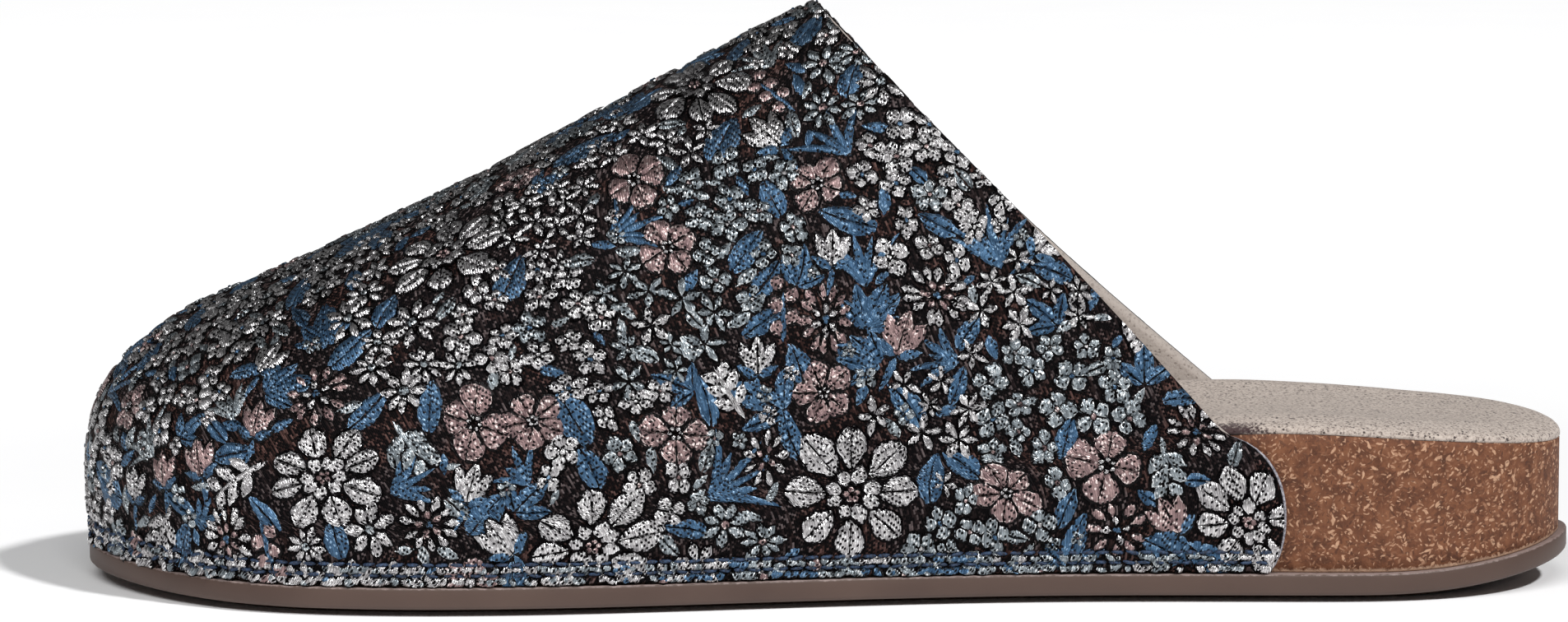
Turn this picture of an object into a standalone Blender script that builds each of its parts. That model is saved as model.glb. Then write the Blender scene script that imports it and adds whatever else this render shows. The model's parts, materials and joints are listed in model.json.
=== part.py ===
"""Closed-toe backless mule for the left foot.

A rubber outsole, a cork midsole, a suede-covered insole and one hollow textile upper, all lofted from the
plan outline of the sole and a few sections of the last. Metres, +Z up: the toe points to -X, the outer
(lateral) side of the foot faces -Y, and the sole stands on z = 0.
"""

import bmesh
import bpy
import numpy as np

MM = 0.001

# Driving sizes
LENGTH = 254.5 * MM  # outsole, toe to heel
BALL_WIDTH = 96.0 * MM  # outsole, widest
INSTEP_HEIGHT = 98.6 * MM  # floor to the top of the upper
OUTSOLE_THICKNESS = 4.8 * MM  # with its tread
TREAD_HEIGHT = 1.2 * MM  # the tread stands out below the outsole's edge
TREAD_INSET = 6.0 * MM  # and lies this far inside it
INSOLE_THICKNESS = 2.0 * MM
WALL = 1.8 * MM  # textile and lining together
GAP = 0.3 * MM  # clearance between pieces

# Plan outline of the outsole: distance back from the toe as a share of the length,
# and distance from the axis as a share of half the ball width (lateral side negative)
OUTLINE = [
    ("toe tip", 0.000, 0.060),
    ("lateral toe", 0.038, -0.500),
    ("lateral toe shoulder", 0.112, -0.860),
    ("lateral ball", 0.270, -1.000),
    ("lateral forewaist", 0.460, -0.845),
    ("lateral waist", 0.650, -0.700),
    ("lateral heel front", 0.800, -0.695),
    ("lateral heel", 0.905, -0.640),
    ("lateral heel back", 0.975, -0.390),
    ("heel tip", 1.000, -0.020),
    ("medial heel back", 0.975, 0.350),
    ("medial heel", 0.905, 0.590),
    ("medial heel front", 0.800, 0.645),
    ("medial waist", 0.615, 0.600),
    ("medial forewaist", 0.440, 0.790),
    ("medial ball", 0.265, 0.985),
    ("medial toe shoulder", 0.105, 0.850),
    ("medial toe", 0.035, 0.530),
]
HEEL_ROW = [name for name, _, _ in OUTLINE].index("heel tip")

# Height of the cork's rim over the floor, by distance back from the toe
FOOTBED = [
    ("toe", 0.00, 14.2 * MM),
    ("ball", 0.26, 13.7 * MM),
    ("waist", 0.58, 22.2 * MM),
    ("heel front", 0.80, 28.3 * MM),
    ("heel", 0.90, 26.9 * MM),
    ("heel back", 1.00, 24.3 * MM),
]
HEEL_CUP = 1.2 * MM  # dip of the footbed between its rims at the heel
CUP_START = (0.62, 0.85)  # and the shares of the length over which it comes in
ARCH_RISE = 2.0 * MM  # lift of the footbed along the inner waist
ARCH_START = (0.36, 0.58)
ARCH_END = (0.60, 0.84)

# Height of the upper's crown line over the floor, as it would run without its topline cut
CROWN = [
    ("toe", -0.004, 39.2 * MM),
    ("toe box", 0.120, 51.6 * MM),
    ("vamp", 0.260, 68.0 * MM),
    ("instep", 0.390, 85.6 * MM),
    ("peak", 0.492, INSTEP_HEIGHT),
    ("over the opening", 0.680, 114.2 * MM),
]

# Fullness of the cross-section above the footbed, from the toe to where the side walls end:
# 2 is an ellipse, more is squarer
FULLNESS = [
    ("toe", 0.0, 2.80),
    ("vamp", 0.4, 2.20),
    ("instep", 1.0, 1.90),
]

TOE_SPRING = 1.2 * MM  # lift of the sole at the toe
TOE_SPRING_RUN = 42.0 * MM
HEEL_SWEEP = 4.0 * MM  # lift of the sole at the back of the heel
HEEL_SWEEP_RUN = 36.0 * MM

# Side walls, measured inward from the outsole's outline
CORK_INSET_FRONT = 2.6 * MM  # leaves room for the upper's wall
CORK_INSET_HEEL = 1.4 * MM  # bare cork behind the upper
WALL_FLARE = 0.9 * MM  # the covered wall leans out as it rises to the footbed
FLARE_END = (0.66, 0.78)  # the flare fades out over these shares of the length
INSET_CHANGE = (0.74, 0.92)  # and the cork widens to its bare inset over these

# Upper
RIDGE_FRONT = 0.098  # where the crown line takes over from the toe, share of the length
RIDGE_BACK = 0.690
SIDE_BACK = 0.875  # how far back the side walls are worked out before the topline cuts them
SHOULDER_RISE = 3.3 * MM  # the wall stands straight this far above the cork's rim
RIDGE_SHIFT = 3.0 * MM  # the instep leans to the medial side
FLAP_CENTRE = 0.746  # the rounded flap over the cork's side: an oval about this share of the length
FLAP_HEIGHT = 14.0 * MM
FLAP_REACH = 13.4 * MM
FLAP_RISE = 14.6 * MM
FLAP_FULLNESS = 2.2

# Topline from its peak down to the footbed: run back for each unit that it drops, and how far it bows back
TOPLINE = {
    "lateral": {"slope": 0.968, "bow": 1.7 * MM},
    "medial": {"slope": 1.028, "bow": -3.4 * MM},
}
TOPLINE_FOOT = 28.2 * MM

# Mesh counts
SPAN_SAMPLES = 60  # dense samples between two rows of the outline
RAIL_SAMPLES = 400  # along the upper's hem before it is cut
HALF_STEPS = 44  # along each half of the sole
CROSS_STEPS = 6  # across the sole
WALL_ROWS = 8  # upper, from hem to shoulder
DOME_ROWS = 11  # upper, from shoulder to ridge
SIDE_COLUMNS = 34  # upper, from toe to topline on each side


def clear_scene():
    for old in list(bpy.data.objects):
        bpy.data.objects.remove(old, do_unlink=True)


def along(share):
    """X of a share of the sole's length, counted back from the toe."""
    return (share - 0.5) * LENGTH


def ease_in(x, shares):
    """0 before the first share of the length, 1 after the second, smooth between them."""
    start, end = (along(share) for share in shares)
    step = np.clip((x - start) / (end - start), 0.0, 1.0)
    return step * step * (3.0 - 2.0 * step)


def row_curve(rows, place=along):
    """A smooth function through (name, share, value) rows, straight beyond its ends."""
    xs = np.array([place(row[1]) for row in rows])
    ys = np.array([row[2] for row in rows])
    slopes = np.gradient(ys, xs)

    def curve(x):
        index = int(np.clip(np.searchsorted(xs, x) - 1, 0, len(xs) - 2))
        span = xs[index + 1] - xs[index]
        step = (x - xs[index]) / span
        if step < 0.0:
            return ys[0] + slopes[0] * (x - xs[0])
        if step > 1.0:
            return ys[-1] + slopes[-1] * (x - xs[-1])
        rise = ys[index + 1] - ys[index]
        start = slopes[index] * span
        end = slopes[index + 1] * span
        bend = (start + end - 2.0 * rise) * step
        return ys[index] + step * (start + step * (3.0 * rise - 2.0 * start - end + bend))

    return curve


cork_rim = row_curve(FOOTBED)
crown = row_curve(CROWN)
fullness_at = row_curve(FULLNESS, place=float)
PEAK_X = along(next(share for name, share, _ in CROWN if name == "peak"))


def outline_spline():
    """Dense closed outline: points, inward normals, and the sample where the heel tip lies."""
    knots = np.array([(along(back), out * BALL_WIDTH / 2) for _, back, out in OUTLINE])
    count = len(knots)
    chord = np.linalg.norm(np.roll(knots, -1, axis=0) - knots, axis=1)
    system = np.zeros((count, count))
    right = np.zeros((count, 2))
    for i in range(count):
        before = chord[i - 1]
        after = chord[i]
        nearby = knots[(i + 1) % count]
        system[i, i - 1] += before
        system[i, i] += 2.0 * (before + after)
        system[i, (i + 1) % count] += after
        right[i] = 6.0 * ((nearby - knots[i]) / after - (knots[i] - knots[i - 1]) / before)
    bend = np.linalg.solve(system, right)
    points = []
    for i in range(count):
        j = (i + 1) % count
        for k in range(SPAN_SAMPLES):
            b = k / SPAN_SAMPLES
            a = 1.0 - b
            cubic = ((a**3 - a) * bend[i] + (b**3 - b) * bend[j]) * chord[i] ** 2 / 6.0
            points.append(a * knots[i] + b * knots[j] + cubic)
    points = np.array(points)
    tangents = np.roll(points, -1, axis=0) - np.roll(points, 1, axis=0)
    tangents /= np.linalg.norm(tangents, axis=1)[:, None]
    inward = np.stack([-tangents[:, 1], tangents[:, 0]], axis=1)
    return points, inward, HEEL_ROW * SPAN_SAMPLES


OUTLINE_POINTS, OUTLINE_INWARD, HEEL_SAMPLE = outline_spline()


def half_rail(side, shares):
    """Outline points and inward normals on one side, at shares of the arc from toe tip to heel tip."""
    points = np.vstack([OUTLINE_POINTS, OUTLINE_POINTS[:1]])
    inward = np.vstack([OUTLINE_INWARD, OUTLINE_INWARD[:1]])
    if side == "lateral":
        points = points[: HEEL_SAMPLE + 1]
        inward = inward[: HEEL_SAMPLE + 1]
    else:
        points = points[HEEL_SAMPLE:][::-1]
        inward = inward[HEEL_SAMPLE:][::-1]
    arc = np.concatenate([[0.0], np.cumsum(np.linalg.norm(np.diff(points, axis=0), axis=1))])
    at = np.asarray(shares) * arc[-1]
    place = np.stack([np.interp(at, arc, points[:, i]) for i in (0, 1)], axis=1)
    normal = np.stack([np.interp(at, arc, inward[:, i]) for i in (0, 1)], axis=1)
    return place, normal


def sole_lift(x):
    """Height of the outsole's underside: flat, with the toe sprung and the heel swept up."""
    toe = np.clip((along(0.0) + TOE_SPRING_RUN - x) / TOE_SPRING_RUN, 0.0, 1.2)
    heel = np.clip((x - along(1.0) + HEEL_SWEEP_RUN) / HEEL_SWEEP_RUN, 0.0, 1.2)
    return TOE_SPRING * toe**2 + HEEL_SWEEP * heel**2


def cork_inset(x):
    return CORK_INSET_FRONT + (CORK_INSET_HEEL - CORK_INSET_FRONT) * ease_in(x, INSET_CHANGE)


def wall_flare(x):
    return WALL_FLARE * (1.0 - ease_in(x, FLARE_END))


def footbed_shape(x, across):
    """Dip of the heel cup and lift of the arch, across running from -1 (lateral rim) to 1 (medial rim)."""
    heel = ease_in(x, CUP_START) * (1.0 - across**2)
    waist = ease_in(x, ARCH_START) * (1.0 - ease_in(x, ARCH_END))
    return ARCH_RISE * waist * np.clip(across, 0.0, 1.0) ** 2 - HEEL_CUP * heel


def cork_top(x, across):
    return cork_rim(x) + footbed_shape(x, across)


def slab(name, rings, bottom, top):
    """A closed plate: rings of (inset(x), height(x, across)) from the lower edge to the upper one.

    The underside follows bottom(x, across) and the upper face top(x, across); both meet their rims. Across runs
    from -1 at the lateral rim to 1 at the medial one.
    """
    shares = np.linspace(0.0, 1.0, HALF_STEPS + 1)
    rails = [half_rail(side, shares) for side in ("lateral", "medial")]
    mesh = bmesh.new()

    def ring_points(inset, height):
        made = []
        for across, (place, normal) in zip((-1.0, 1.0), rails):
            row = []
            for (x, y), (nx, ny) in zip(place, normal):
                depth = inset(x)
                row.append((x + nx * depth, y + ny * depth))
            made.append([(px, py, height(px, across)) for px, py in row])
        return made

    def ring_verts(inset, height):
        lateral, medial = ring_points(inset, height)
        left = [mesh.verts.new(point) for point in lateral]
        right = [left[0]] + [mesh.verts.new(point) for point in medial[1:-1]] + [left[-1]]
        return left, right

    loops = [ring_verts(inset, height) for inset, height in rings]
    for (left, right), (left_up, right_up) in zip(loops, loops[1:]):
        for i in range(HALF_STEPS):
            mesh.faces.new((left[i], left[i + 1], left_up[i + 1], left_up[i]))
            mesh.faces.new((right[i + 1], right[i], right_up[i], right_up[i + 1]))

    def cover(loop, surface, upward):
        left, right = loop
        before = [left[0]] * (CROSS_STEPS + 1)
        for i in range(1, HALF_STEPS + 1):
            if i == HALF_STEPS:
                rung = [left[-1]] * (CROSS_STEPS + 1)
            else:
                rung = [left[i]]
                for k in range(1, CROSS_STEPS):
                    share = k / CROSS_STEPS
                    spot = left[i].co.lerp(right[i].co, share)
                    spot.z = surface(spot.x, 2.0 * share - 1.0)
                    rung.append(mesh.verts.new(spot))
                rung.append(right[i])
            for k in range(CROSS_STEPS):
                corners = [before[k], before[k + 1], rung[k + 1], rung[k]]
                corners = list(dict.fromkeys(corners))
                mesh.faces.new(corners if upward else corners[::-1])
            before = rung

    cover(loops[0], bottom, False)
    cover(loops[-1], top, True)
    return finish_mesh(name, mesh)


def finish_mesh(name, mesh):
    bmesh.ops.recalc_face_normals(mesh, faces=mesh.faces)
    data = bpy.data.meshes.new(name)
    mesh.to_mesh(data)
    mesh.free()
    data.shade_smooth()
    return bpy.data.objects.new(name, data)


def make_outsole():
    """Rubber plate with a rounded lower edge, standing on a flat tread that is set in from it."""
    edge = 0.7 * MM
    draft = 0.3 * MM

    def at_height(height):
        return lambda x, across: sole_lift(x) + height

    rings = [
        (lambda x: TREAD_INSET, at_height(0.0)),
        (lambda x: TREAD_INSET - draft, at_height(TREAD_HEIGHT)),
        (lambda x: edge, at_height(TREAD_HEIGHT)),
        (lambda x: 0.3 * edge, at_height(TREAD_HEIGHT + 0.3 * edge)),
        (lambda x: 0.0, at_height(TREAD_HEIGHT + edge)),
        (lambda x: 0.0, at_height(OUTSOLE_THICKNESS)),
    ]
    return slab("outsole", rings, at_height(0.0), at_height(OUTSOLE_THICKNESS))


def cork_base(x, across=0.0):
    return sole_lift(x) + OUTSOLE_THICKNESS + GAP


def make_cork():
    """Cork body between outsole and insole, its covered wall flaring with the upper."""
    rings = [
        (cork_inset, cork_base),
        (lambda x: cork_inset(x) - wall_flare(x), cork_top),
    ]
    return slab("cork_midsole", rings, cork_base, cork_top)


def make_insole():
    """Suede-covered sheet that follows the footbed, with a rolled rim."""
    roll = 0.7 * MM

    def edge(depth):
        return lambda x: cork_inset(x) - wall_flare(x) + depth

    def over_cork(height):
        return lambda x, across: cork_top(x, across) + GAP + height

    rings = [
        (edge(0.15 * roll), over_cork(0.0)),
        (edge(0.0), over_cork(0.5 * INSOLE_THICKNESS)),
        (edge(0.3 * roll), over_cork(INSOLE_THICKNESS - 0.3 * roll)),
        (edge(roll), over_cork(INSOLE_THICKNESS)),
    ]
    return slab("insole", rings, over_cork(0.0), over_cork(INSOLE_THICKNESS))


class UpperSide:
    """One side of the upper's outer surface, over station (0 toe, 1 far back) and level (0 hem, 1 ridge)."""

    def __init__(self, side):
        self.side = side
        self.place, self.normal = half_rail(side, np.linspace(0.0, 1.0, RAIL_SAMPLES))
        reach = np.searchsorted(self.place[:, 0], along(SIDE_BACK))
        self.place = self.place[:reach]
        self.normal = self.normal[:reach]
        self.stations = np.linspace(0.0, 1.0, reach)

    def hem(self, station):
        """Outer hem point and inward normal in plan."""
        x, y = (np.interp(station, self.stations, self.place[:, i]) for i in (0, 1))
        nx, ny = (np.interp(station, self.stations, self.normal[:, i]) for i in (0, 1))
        depth = cork_inset(x) - GAP - WALL
        return np.array([x + nx * depth, y + ny * depth]), np.array([nx, ny])

    def point(self, station, level):
        """Outer surface: a nearly straight wall up to the shoulder, then a full arch to the ridge."""
        hem, inward = self.hem(station)
        low = sole_lift(hem[0]) + OUTSOLE_THICKNESS + GAP
        shoulder = cork_rim(hem[0]) + SHOULDER_RISE
        wall_share = WALL_ROWS / (WALL_ROWS + DOME_ROWS)
        rise = min(level / wall_share, 1.0)
        foot = hem - inward * wall_flare(hem[0]) * np.sin(rise * np.pi / 2)
        if level <= wall_share:
            return np.array([foot[0], foot[1], low + (shoulder - low) * rise])
        turn = (level - wall_share) / (1.0 - wall_share) * np.pi / 2
        power = 2.0 / fullness_at(station)
        inset = 1.0 - max(np.cos(turn), 0.0) ** power
        lift = np.sin(turn) ** power
        ridge_x = along(RIDGE_FRONT + (RIDGE_BACK - RIDGE_FRONT) * station)
        ridge_y = OUTLINE[0][2] * BALL_WIDTH / 2 * (1.0 - station) + RIDGE_SHIFT * station
        x = foot[0] + (ridge_x - foot[0]) * inset
        y = foot[1] + (ridge_y - foot[1]) * inset
        return np.array([x, y, shoulder + (crown(x) - shoulder) * lift])

    def end_station(self, level):
        """The station where this level meets the topline or the flap's rounded edge."""
        low, high = 0.0, 1.0
        for _ in range(40):
            middle = (low + high) / 2
            x, _, z = self.point(middle, level)
            if x < topline_x(self.side, z):
                low = middle
            else:
                high = middle
        return low


def topline_x(side, z):
    """X of the upper's back edge at a height: the slanted topline, then the flap's rounded edge below it."""
    cut = TOPLINE[side]
    drop = np.clip((INSTEP_HEIGHT - z) / (INSTEP_HEIGHT - TOPLINE_FOOT), 0.0, 1.0)
    line = PEAK_X + (INSTEP_HEIGHT - z) * cut["slope"] + cut["bow"] * np.sin(np.pi * drop)
    over = 1.0 - abs((z - FLAP_HEIGHT) / FLAP_RISE) ** FLAP_FULLNESS
    if over <= 0.0:
        return line
    flap = along(FLAP_CENTRE) + FLAP_REACH * over ** (1.0 / FLAP_FULLNESS)
    return max(line, flap) if z > FLAP_HEIGHT + FLAP_RISE / 2 else flap


def make_upper():
    """One open surface from the lateral flap round the toe to the medial one, thickened inward."""
    rows = WALL_ROWS + DOME_ROWS
    mesh = bmesh.new()
    ridge_end = UpperSide("lateral").end_station(1.0)
    for side in ("lateral", "medial"):
        surface = UpperSide(side)
        grid = []
        for j in range(rows + 1):
            level = j / rows
            end = surface.end_station(level) if j < rows else ridge_end
            line = [surface.point(end * k / SIDE_COLUMNS, level) for k in range(SIDE_COLUMNS + 1)]
            grid.append([mesh.verts.new(point) for point in line])
        for lower, upper in zip(grid, grid[1:]):
            for k in range(SIDE_COLUMNS):
                corners = (lower[k], lower[k + 1], upper[k + 1], upper[k])
                mesh.faces.new(corners if side == "lateral" else corners[::-1])
    bmesh.ops.remove_doubles(mesh, verts=mesh.verts, dist=0.02 * MM)
    upper = finish_mesh("upper", mesh)
    shell = upper.modifiers.new("wall", "SOLIDIFY")
    shell.thickness = WALL
    shell.offset = -1.0
    shell.use_even_offset = True
    return upper


def paint(part, colour, roughness):
    material = bpy.data.materials.new(part.name)
    material.use_nodes = True
    shader = material.node_tree.nodes["Principled BSDF"]
    shader.inputs["Base Color"].default_value = (*colour, 1.0)
    shader.inputs["Roughness"].default_value = roughness
    shader.inputs["Metallic"].default_value = 0.0
    part.data.materials.append(material)


def centre_on_floor(parts, holder):
    """Moves the holder so that the whole shoe's box is centred over the origin."""
    bpy.context.view_layer.update()
    graph = bpy.context.evaluated_depsgraph_get()
    spots = []
    for part in parts:
        shape = part.evaluated_get(graph).to_mesh()
        spots.extend(tuple(vertex.co) for vertex in shape.vertices)
    spots = np.array(spots)
    middle = (spots.min(axis=0) + spots.max(axis=0)) / 2
    holder.location = (-middle[0], -middle[1], 0.0)


def main():
    clear_scene()
    collection = bpy.data.collections.new("mule")
    bpy.context.scene.collection.children.link(collection)
    holder = bpy.data.objects.new("mule_frame", None)
    collection.objects.link(holder)
    finishes = [
        (make_outsole(), (0.127, 0.084, 0.070), 0.62),
        (make_cork(), (0.205, 0.091, 0.051), 0.80),
        (make_insole(), (0.440, 0.376, 0.337), 0.92),
        (make_upper(), (0.075, 0.092, 0.120), 0.55),
    ]
    for part, colour, roughness in finishes:
        paint(part, colour, roughness)
        collection.objects.link(part)
        part.parent = holder
    centre_on_floor([part for part, _, _ in finishes], holder)


main()
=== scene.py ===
import json
import math
import random

import bpy
import numpy as np
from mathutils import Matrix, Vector, noise
from mathutils.bvhtree import BVHTree
from mathutils.kdtree import KDTree

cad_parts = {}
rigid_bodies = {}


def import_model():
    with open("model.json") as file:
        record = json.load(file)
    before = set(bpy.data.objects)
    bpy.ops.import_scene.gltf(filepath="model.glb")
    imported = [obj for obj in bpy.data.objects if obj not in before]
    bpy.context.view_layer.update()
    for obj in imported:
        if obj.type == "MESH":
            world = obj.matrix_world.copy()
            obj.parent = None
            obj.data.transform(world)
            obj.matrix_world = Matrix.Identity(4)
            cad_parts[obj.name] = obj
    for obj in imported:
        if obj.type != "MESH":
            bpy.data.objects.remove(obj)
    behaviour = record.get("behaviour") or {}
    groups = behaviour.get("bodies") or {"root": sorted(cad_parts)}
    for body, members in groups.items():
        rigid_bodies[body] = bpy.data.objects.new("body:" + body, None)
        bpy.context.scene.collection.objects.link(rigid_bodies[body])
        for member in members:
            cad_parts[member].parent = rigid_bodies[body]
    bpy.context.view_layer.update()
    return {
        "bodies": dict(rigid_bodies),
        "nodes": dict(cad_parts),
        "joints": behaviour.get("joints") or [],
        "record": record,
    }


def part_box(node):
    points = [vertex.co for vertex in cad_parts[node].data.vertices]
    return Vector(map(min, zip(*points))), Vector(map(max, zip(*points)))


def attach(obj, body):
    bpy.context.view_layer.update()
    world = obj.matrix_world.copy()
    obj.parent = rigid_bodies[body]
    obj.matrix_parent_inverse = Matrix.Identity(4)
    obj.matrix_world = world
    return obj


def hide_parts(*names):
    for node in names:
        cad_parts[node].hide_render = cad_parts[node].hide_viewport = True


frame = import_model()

mm = 0.001  # sizes below are millimetres, and makePiece turns them into metres
print("frame loaded, nodes:", ", ".join(sorted(frame["nodes"])))


# the last: the same sizes and rows as the solids have

last = {
    "length": 254.5,
    "ballWidth": 96.0,
    "instepHeight": 98.6,
    "outsoleThick": 4.8,
    "treadHeight": 1.2,
    "treadInset": 6.0,
    "insoleThick": 2.0,
    "wall": 1.8,
    "gap": 0.3,
    "outline": [  # name, share back from the toe, share of half the ball width (lateral negative)
        ("toe tip", 0.000, 0.060),
        ("lateral toe", 0.038, -0.500),
        ("lateral toe shoulder", 0.112, -0.860),
        ("lateral ball", 0.270, -1.000),
        ("lateral forewaist", 0.460, -0.845),
        ("lateral waist", 0.650, -0.700),
        ("lateral heel front", 0.800, -0.695),
        ("lateral heel", 0.905, -0.640),
        ("lateral heel back", 0.975, -0.390),
        ("heel tip", 1.000, -0.020),
        ("medial heel back", 0.975, 0.350),
        ("medial heel", 0.905, 0.590),
        ("medial heel front", 0.800, 0.645),
        ("medial waist", 0.615, 0.600),
        ("medial forewaist", 0.440, 0.790),
        ("medial ball", 0.265, 0.985),
        ("medial toe shoulder", 0.105, 0.850),
        ("medial toe", 0.035, 0.530),
    ],
    "footbed": [  # name, share back from the toe, height of the cork's rim
        ("toe", 0.00, 14.2),
        ("ball", 0.26, 13.7),
        ("waist", 0.58, 22.2),
        ("heel front", 0.80, 28.3),
        ("heel", 0.90, 26.9),
        ("heel back", 1.00, 24.3),
    ],
    "crown": [  # name, share back from the toe, height of the crown line
        ("toe", -0.004, 39.2),
        ("toe box", 0.120, 51.6),
        ("vamp", 0.260, 68.0),
        ("instep", 0.390, 85.6),
        ("peak", 0.492, 98.6),
        ("over the opening", 0.680, 114.2),
    ],
    "fullness": [("toe", 0.0, 2.80), ("vamp", 0.4, 2.20), ("instep", 1.0, 1.90)],
    "heelCup": 1.2,
    "cupStart": (0.62, 0.85),
    "archRise": 2.0,
    "archStart": (0.36, 0.58),
    "archEnd": (0.60, 0.84),
    "toeSpring": 1.2,
    "toeSpringRun": 42.0,
    "heelSweep": 4.0,
    "heelSweepRun": 36.0,
    "corkInsetFront": 2.6,
    "corkInsetHeel": 1.4,
    "wallFlare": 0.9,
    "flareEnd": (0.66, 0.78),
    "insetChange": (0.74, 0.92),
    "ridgeFront": 0.098,
    "ridgeBack": 0.690,
    "sideBack": 0.875,
    "shoulderRise": 3.3,
    "ridgeShift": 3.0,
    "wallShare": 8 / 19,
    "flapCentre": 0.746,
    "flapHeight": 14.0,
    "flapReach": 13.4,
    "flapRise": 14.6,
    "flapFullness": 2.2,
    "topline": {"lateral": (0.968, 1.7), "medial": (1.028, -3.4)},  # run back for each unit of drop, bow
    "toplineFoot": 28.2,
}


def along(share):
    return (share - 0.5) * last["length"]


def smoothStep(x, low, high):
    step = np.clip((x - low) / (high - low), 0.0, 1.0)
    return step * step * (3.0 - 2.0 * step)


def easeIn(x, shares):
    return smoothStep(x, along(shares[0]), along(shares[1]))


def rowCurve(rows, place=along):  # smooth through the rows, straight beyond their ends
    xs = np.array([place(row[1]) for row in rows])
    ys = np.array([row[2] for row in rows])
    slopes = np.gradient(ys, xs)

    def curve(x):
        x = np.asarray(x, float)
        i = np.clip(np.searchsorted(xs, x) - 1, 0, len(xs) - 2)
        span = xs[i + 1] - xs[i]
        step = np.clip((x - xs[i]) / span, 0.0, 1.0)
        rise = ys[i + 1] - ys[i]
        start = slopes[i] * span
        end = slopes[i + 1] * span
        bend = (start + end - 2.0 * rise) * step
        inside = ys[i] + step * (start + step * (3.0 * rise - 2.0 * start - end + bend))
        before = slopes[0] * np.minimum(x - xs[0], 0.0)
        after = slopes[-1] * np.maximum(x - xs[-1], 0.0)
        return inside + before + after

    return curve


corkRim = rowCurve(last["footbed"])
crownLine = rowCurve(last["crown"])
fullnessAt = rowCurve(last["fullness"], float)


def unit(rows):  # rows made one long
    return rows / np.linalg.norm(rows, axis=-1, keepdims=True)


def arcLength(points, axis=0):  # distance along a line, or along one direction of a grid
    step = np.linalg.norm(np.diff(points, axis=axis), axis=-1)
    return np.insert(np.cumsum(step, axis=axis), 0, 0.0, axis=axis)


def onLine(line, arc, at):  # a line's values at distances along it
    return np.stack([np.interp(at, arc, line[:, i]) for i in range(line.shape[1])], axis=1)


def outlineSpline(perSpan=60):
    half = last["ballWidth"] / 2
    knots = np.array([(along(back), out * half) for _, back, out in last["outline"]])
    count = len(knots)
    after = np.roll(knots, -1, axis=0) - knots
    chord = np.linalg.norm(after, axis=1)
    slope = after / chord[:, None]
    system = np.zeros((count, count))
    for i in range(count):
        system[i, i - 1] += chord[i - 1]
        system[i, i] += 2.0 * (chord[i - 1] + chord[i])
        system[i, (i + 1) % count] += chord[i]
    bend = np.linalg.solve(system, 6.0 * (slope - np.roll(slope, 1, axis=0)))
    b = np.linspace(0.0, 1.0, perSpan, endpoint=False)[None, :, None]
    a = 1.0 - b
    nextKnots = np.roll(knots, -1, axis=0)
    nextBend = np.roll(bend, -1, axis=0)
    cubic = (a**3 - a) * bend[:, None] + (b**3 - b) * nextBend[:, None]
    points = a * knots[:, None] + b * nextKnots[:, None] + cubic * chord[:, None, None] ** 2 / 6.0
    points = points.reshape(-1, 2)
    tangent = unit(np.roll(points, -1, axis=0) - np.roll(points, 1, axis=0))
    inward = np.stack([-tangent[:, 1], tangent[:, 0]], axis=1)
    heel = [name for name, _, _ in last["outline"]].index("heel tip") * perSpan
    return points, inward, heel


outlinePoints, outlineInward, heelSample = outlineSpline()
soleLow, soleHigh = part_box("outsole")
outlineMiddle = (outlinePoints.min(axis=0) + outlinePoints.max(axis=0)) / 2
frameShift = np.array([
    (soleLow.x + soleHigh.x) / 2 / mm - outlineMiddle[0],
    (soleLow.y + soleHigh.y) / 2 / mm - outlineMiddle[1],
    0.0,
])


def halfRail(side, shares):  # outline points and inward normals from toe tip to heel tip
    part = slice(0, heelSample + 1) if side == "lateral" else slice(None, heelSample - 1, -1)
    points, inward = (np.vstack([rows, rows[:1]])[part] for rows in (outlinePoints, outlineInward))
    arc = arcLength(points)
    at = np.asarray(shares) * arc[-1]
    return onLine(points, arc, at), onLine(inward, arc, at)


def soleLift(x):
    toe = np.clip((along(0.0) + last["toeSpringRun"] - x) / last["toeSpringRun"], 0.0, 1.2)
    heel = np.clip((x - along(1.0) + last["heelSweepRun"]) / last["heelSweepRun"], 0.0, 1.2)
    return last["toeSpring"] * toe**2 + last["heelSweep"] * heel**2


def corkInset(x):
    front = last["corkInsetFront"]
    return front + (last["corkInsetHeel"] - front) * easeIn(x, last["insetChange"])


def wallFlare(x):
    return last["wallFlare"] * (1.0 - easeIn(x, last["flareEnd"]))


def corkBase(x):
    return soleLift(x) + last["outsoleThick"] + last["gap"]


def corkTop(x, across):
    heel = easeIn(x, last["cupStart"]) * (1.0 - across**2)
    waist = easeIn(x, last["archStart"]) * (1.0 - easeIn(x, last["archEnd"]))
    arch = last["archRise"] * waist * np.clip(across, 0.0, 1.0) ** 2
    return corkRim(x) + arch - last["heelCup"] * heel


# meshes

def addObject(name, data):
    made = bpy.data.objects.new(name, data)
    bpy.context.scene.collection.objects.link(made)
    return made


def makePiece(name, points, faces, material, uv=None, sharpAngle=None, rim=None):
    mesh = bpy.data.meshes.new(name)
    mesh.from_pydata(((np.asarray(points) + frameShift) * mm).tolist(), [], faces)
    if uv is not None:
        corner = np.empty(len(mesh.loops), np.int32)
        mesh.loops.foreach_get("vertex_index", corner)
        layer = mesh.uv_layers.new(name="cloth")
        layer.data.foreach_set("uv", np.asarray(uv, np.float32)[corner, :2].ravel())
    if rim is not None:  # a value for each point, for the material
        values = mesh.attributes.new("rim", "FLOAT", "POINT").data
        values.foreach_set("value", np.asarray(rim, np.float32))
    mesh.shade_smooth()
    if sharpAngle:
        mesh.set_sharp_from_angle(angle=math.radians(sharpAngle))
    mesh.materials.append(material)
    mesh.update()
    piece = addObject(name, mesh)
    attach(piece, "root")
    return piece


def strip(before, after):  # quads between two closed rings of points
    return np.stack([before, np.roll(before, -1), np.roll(after, -1), after], axis=1).tolist()


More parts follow.
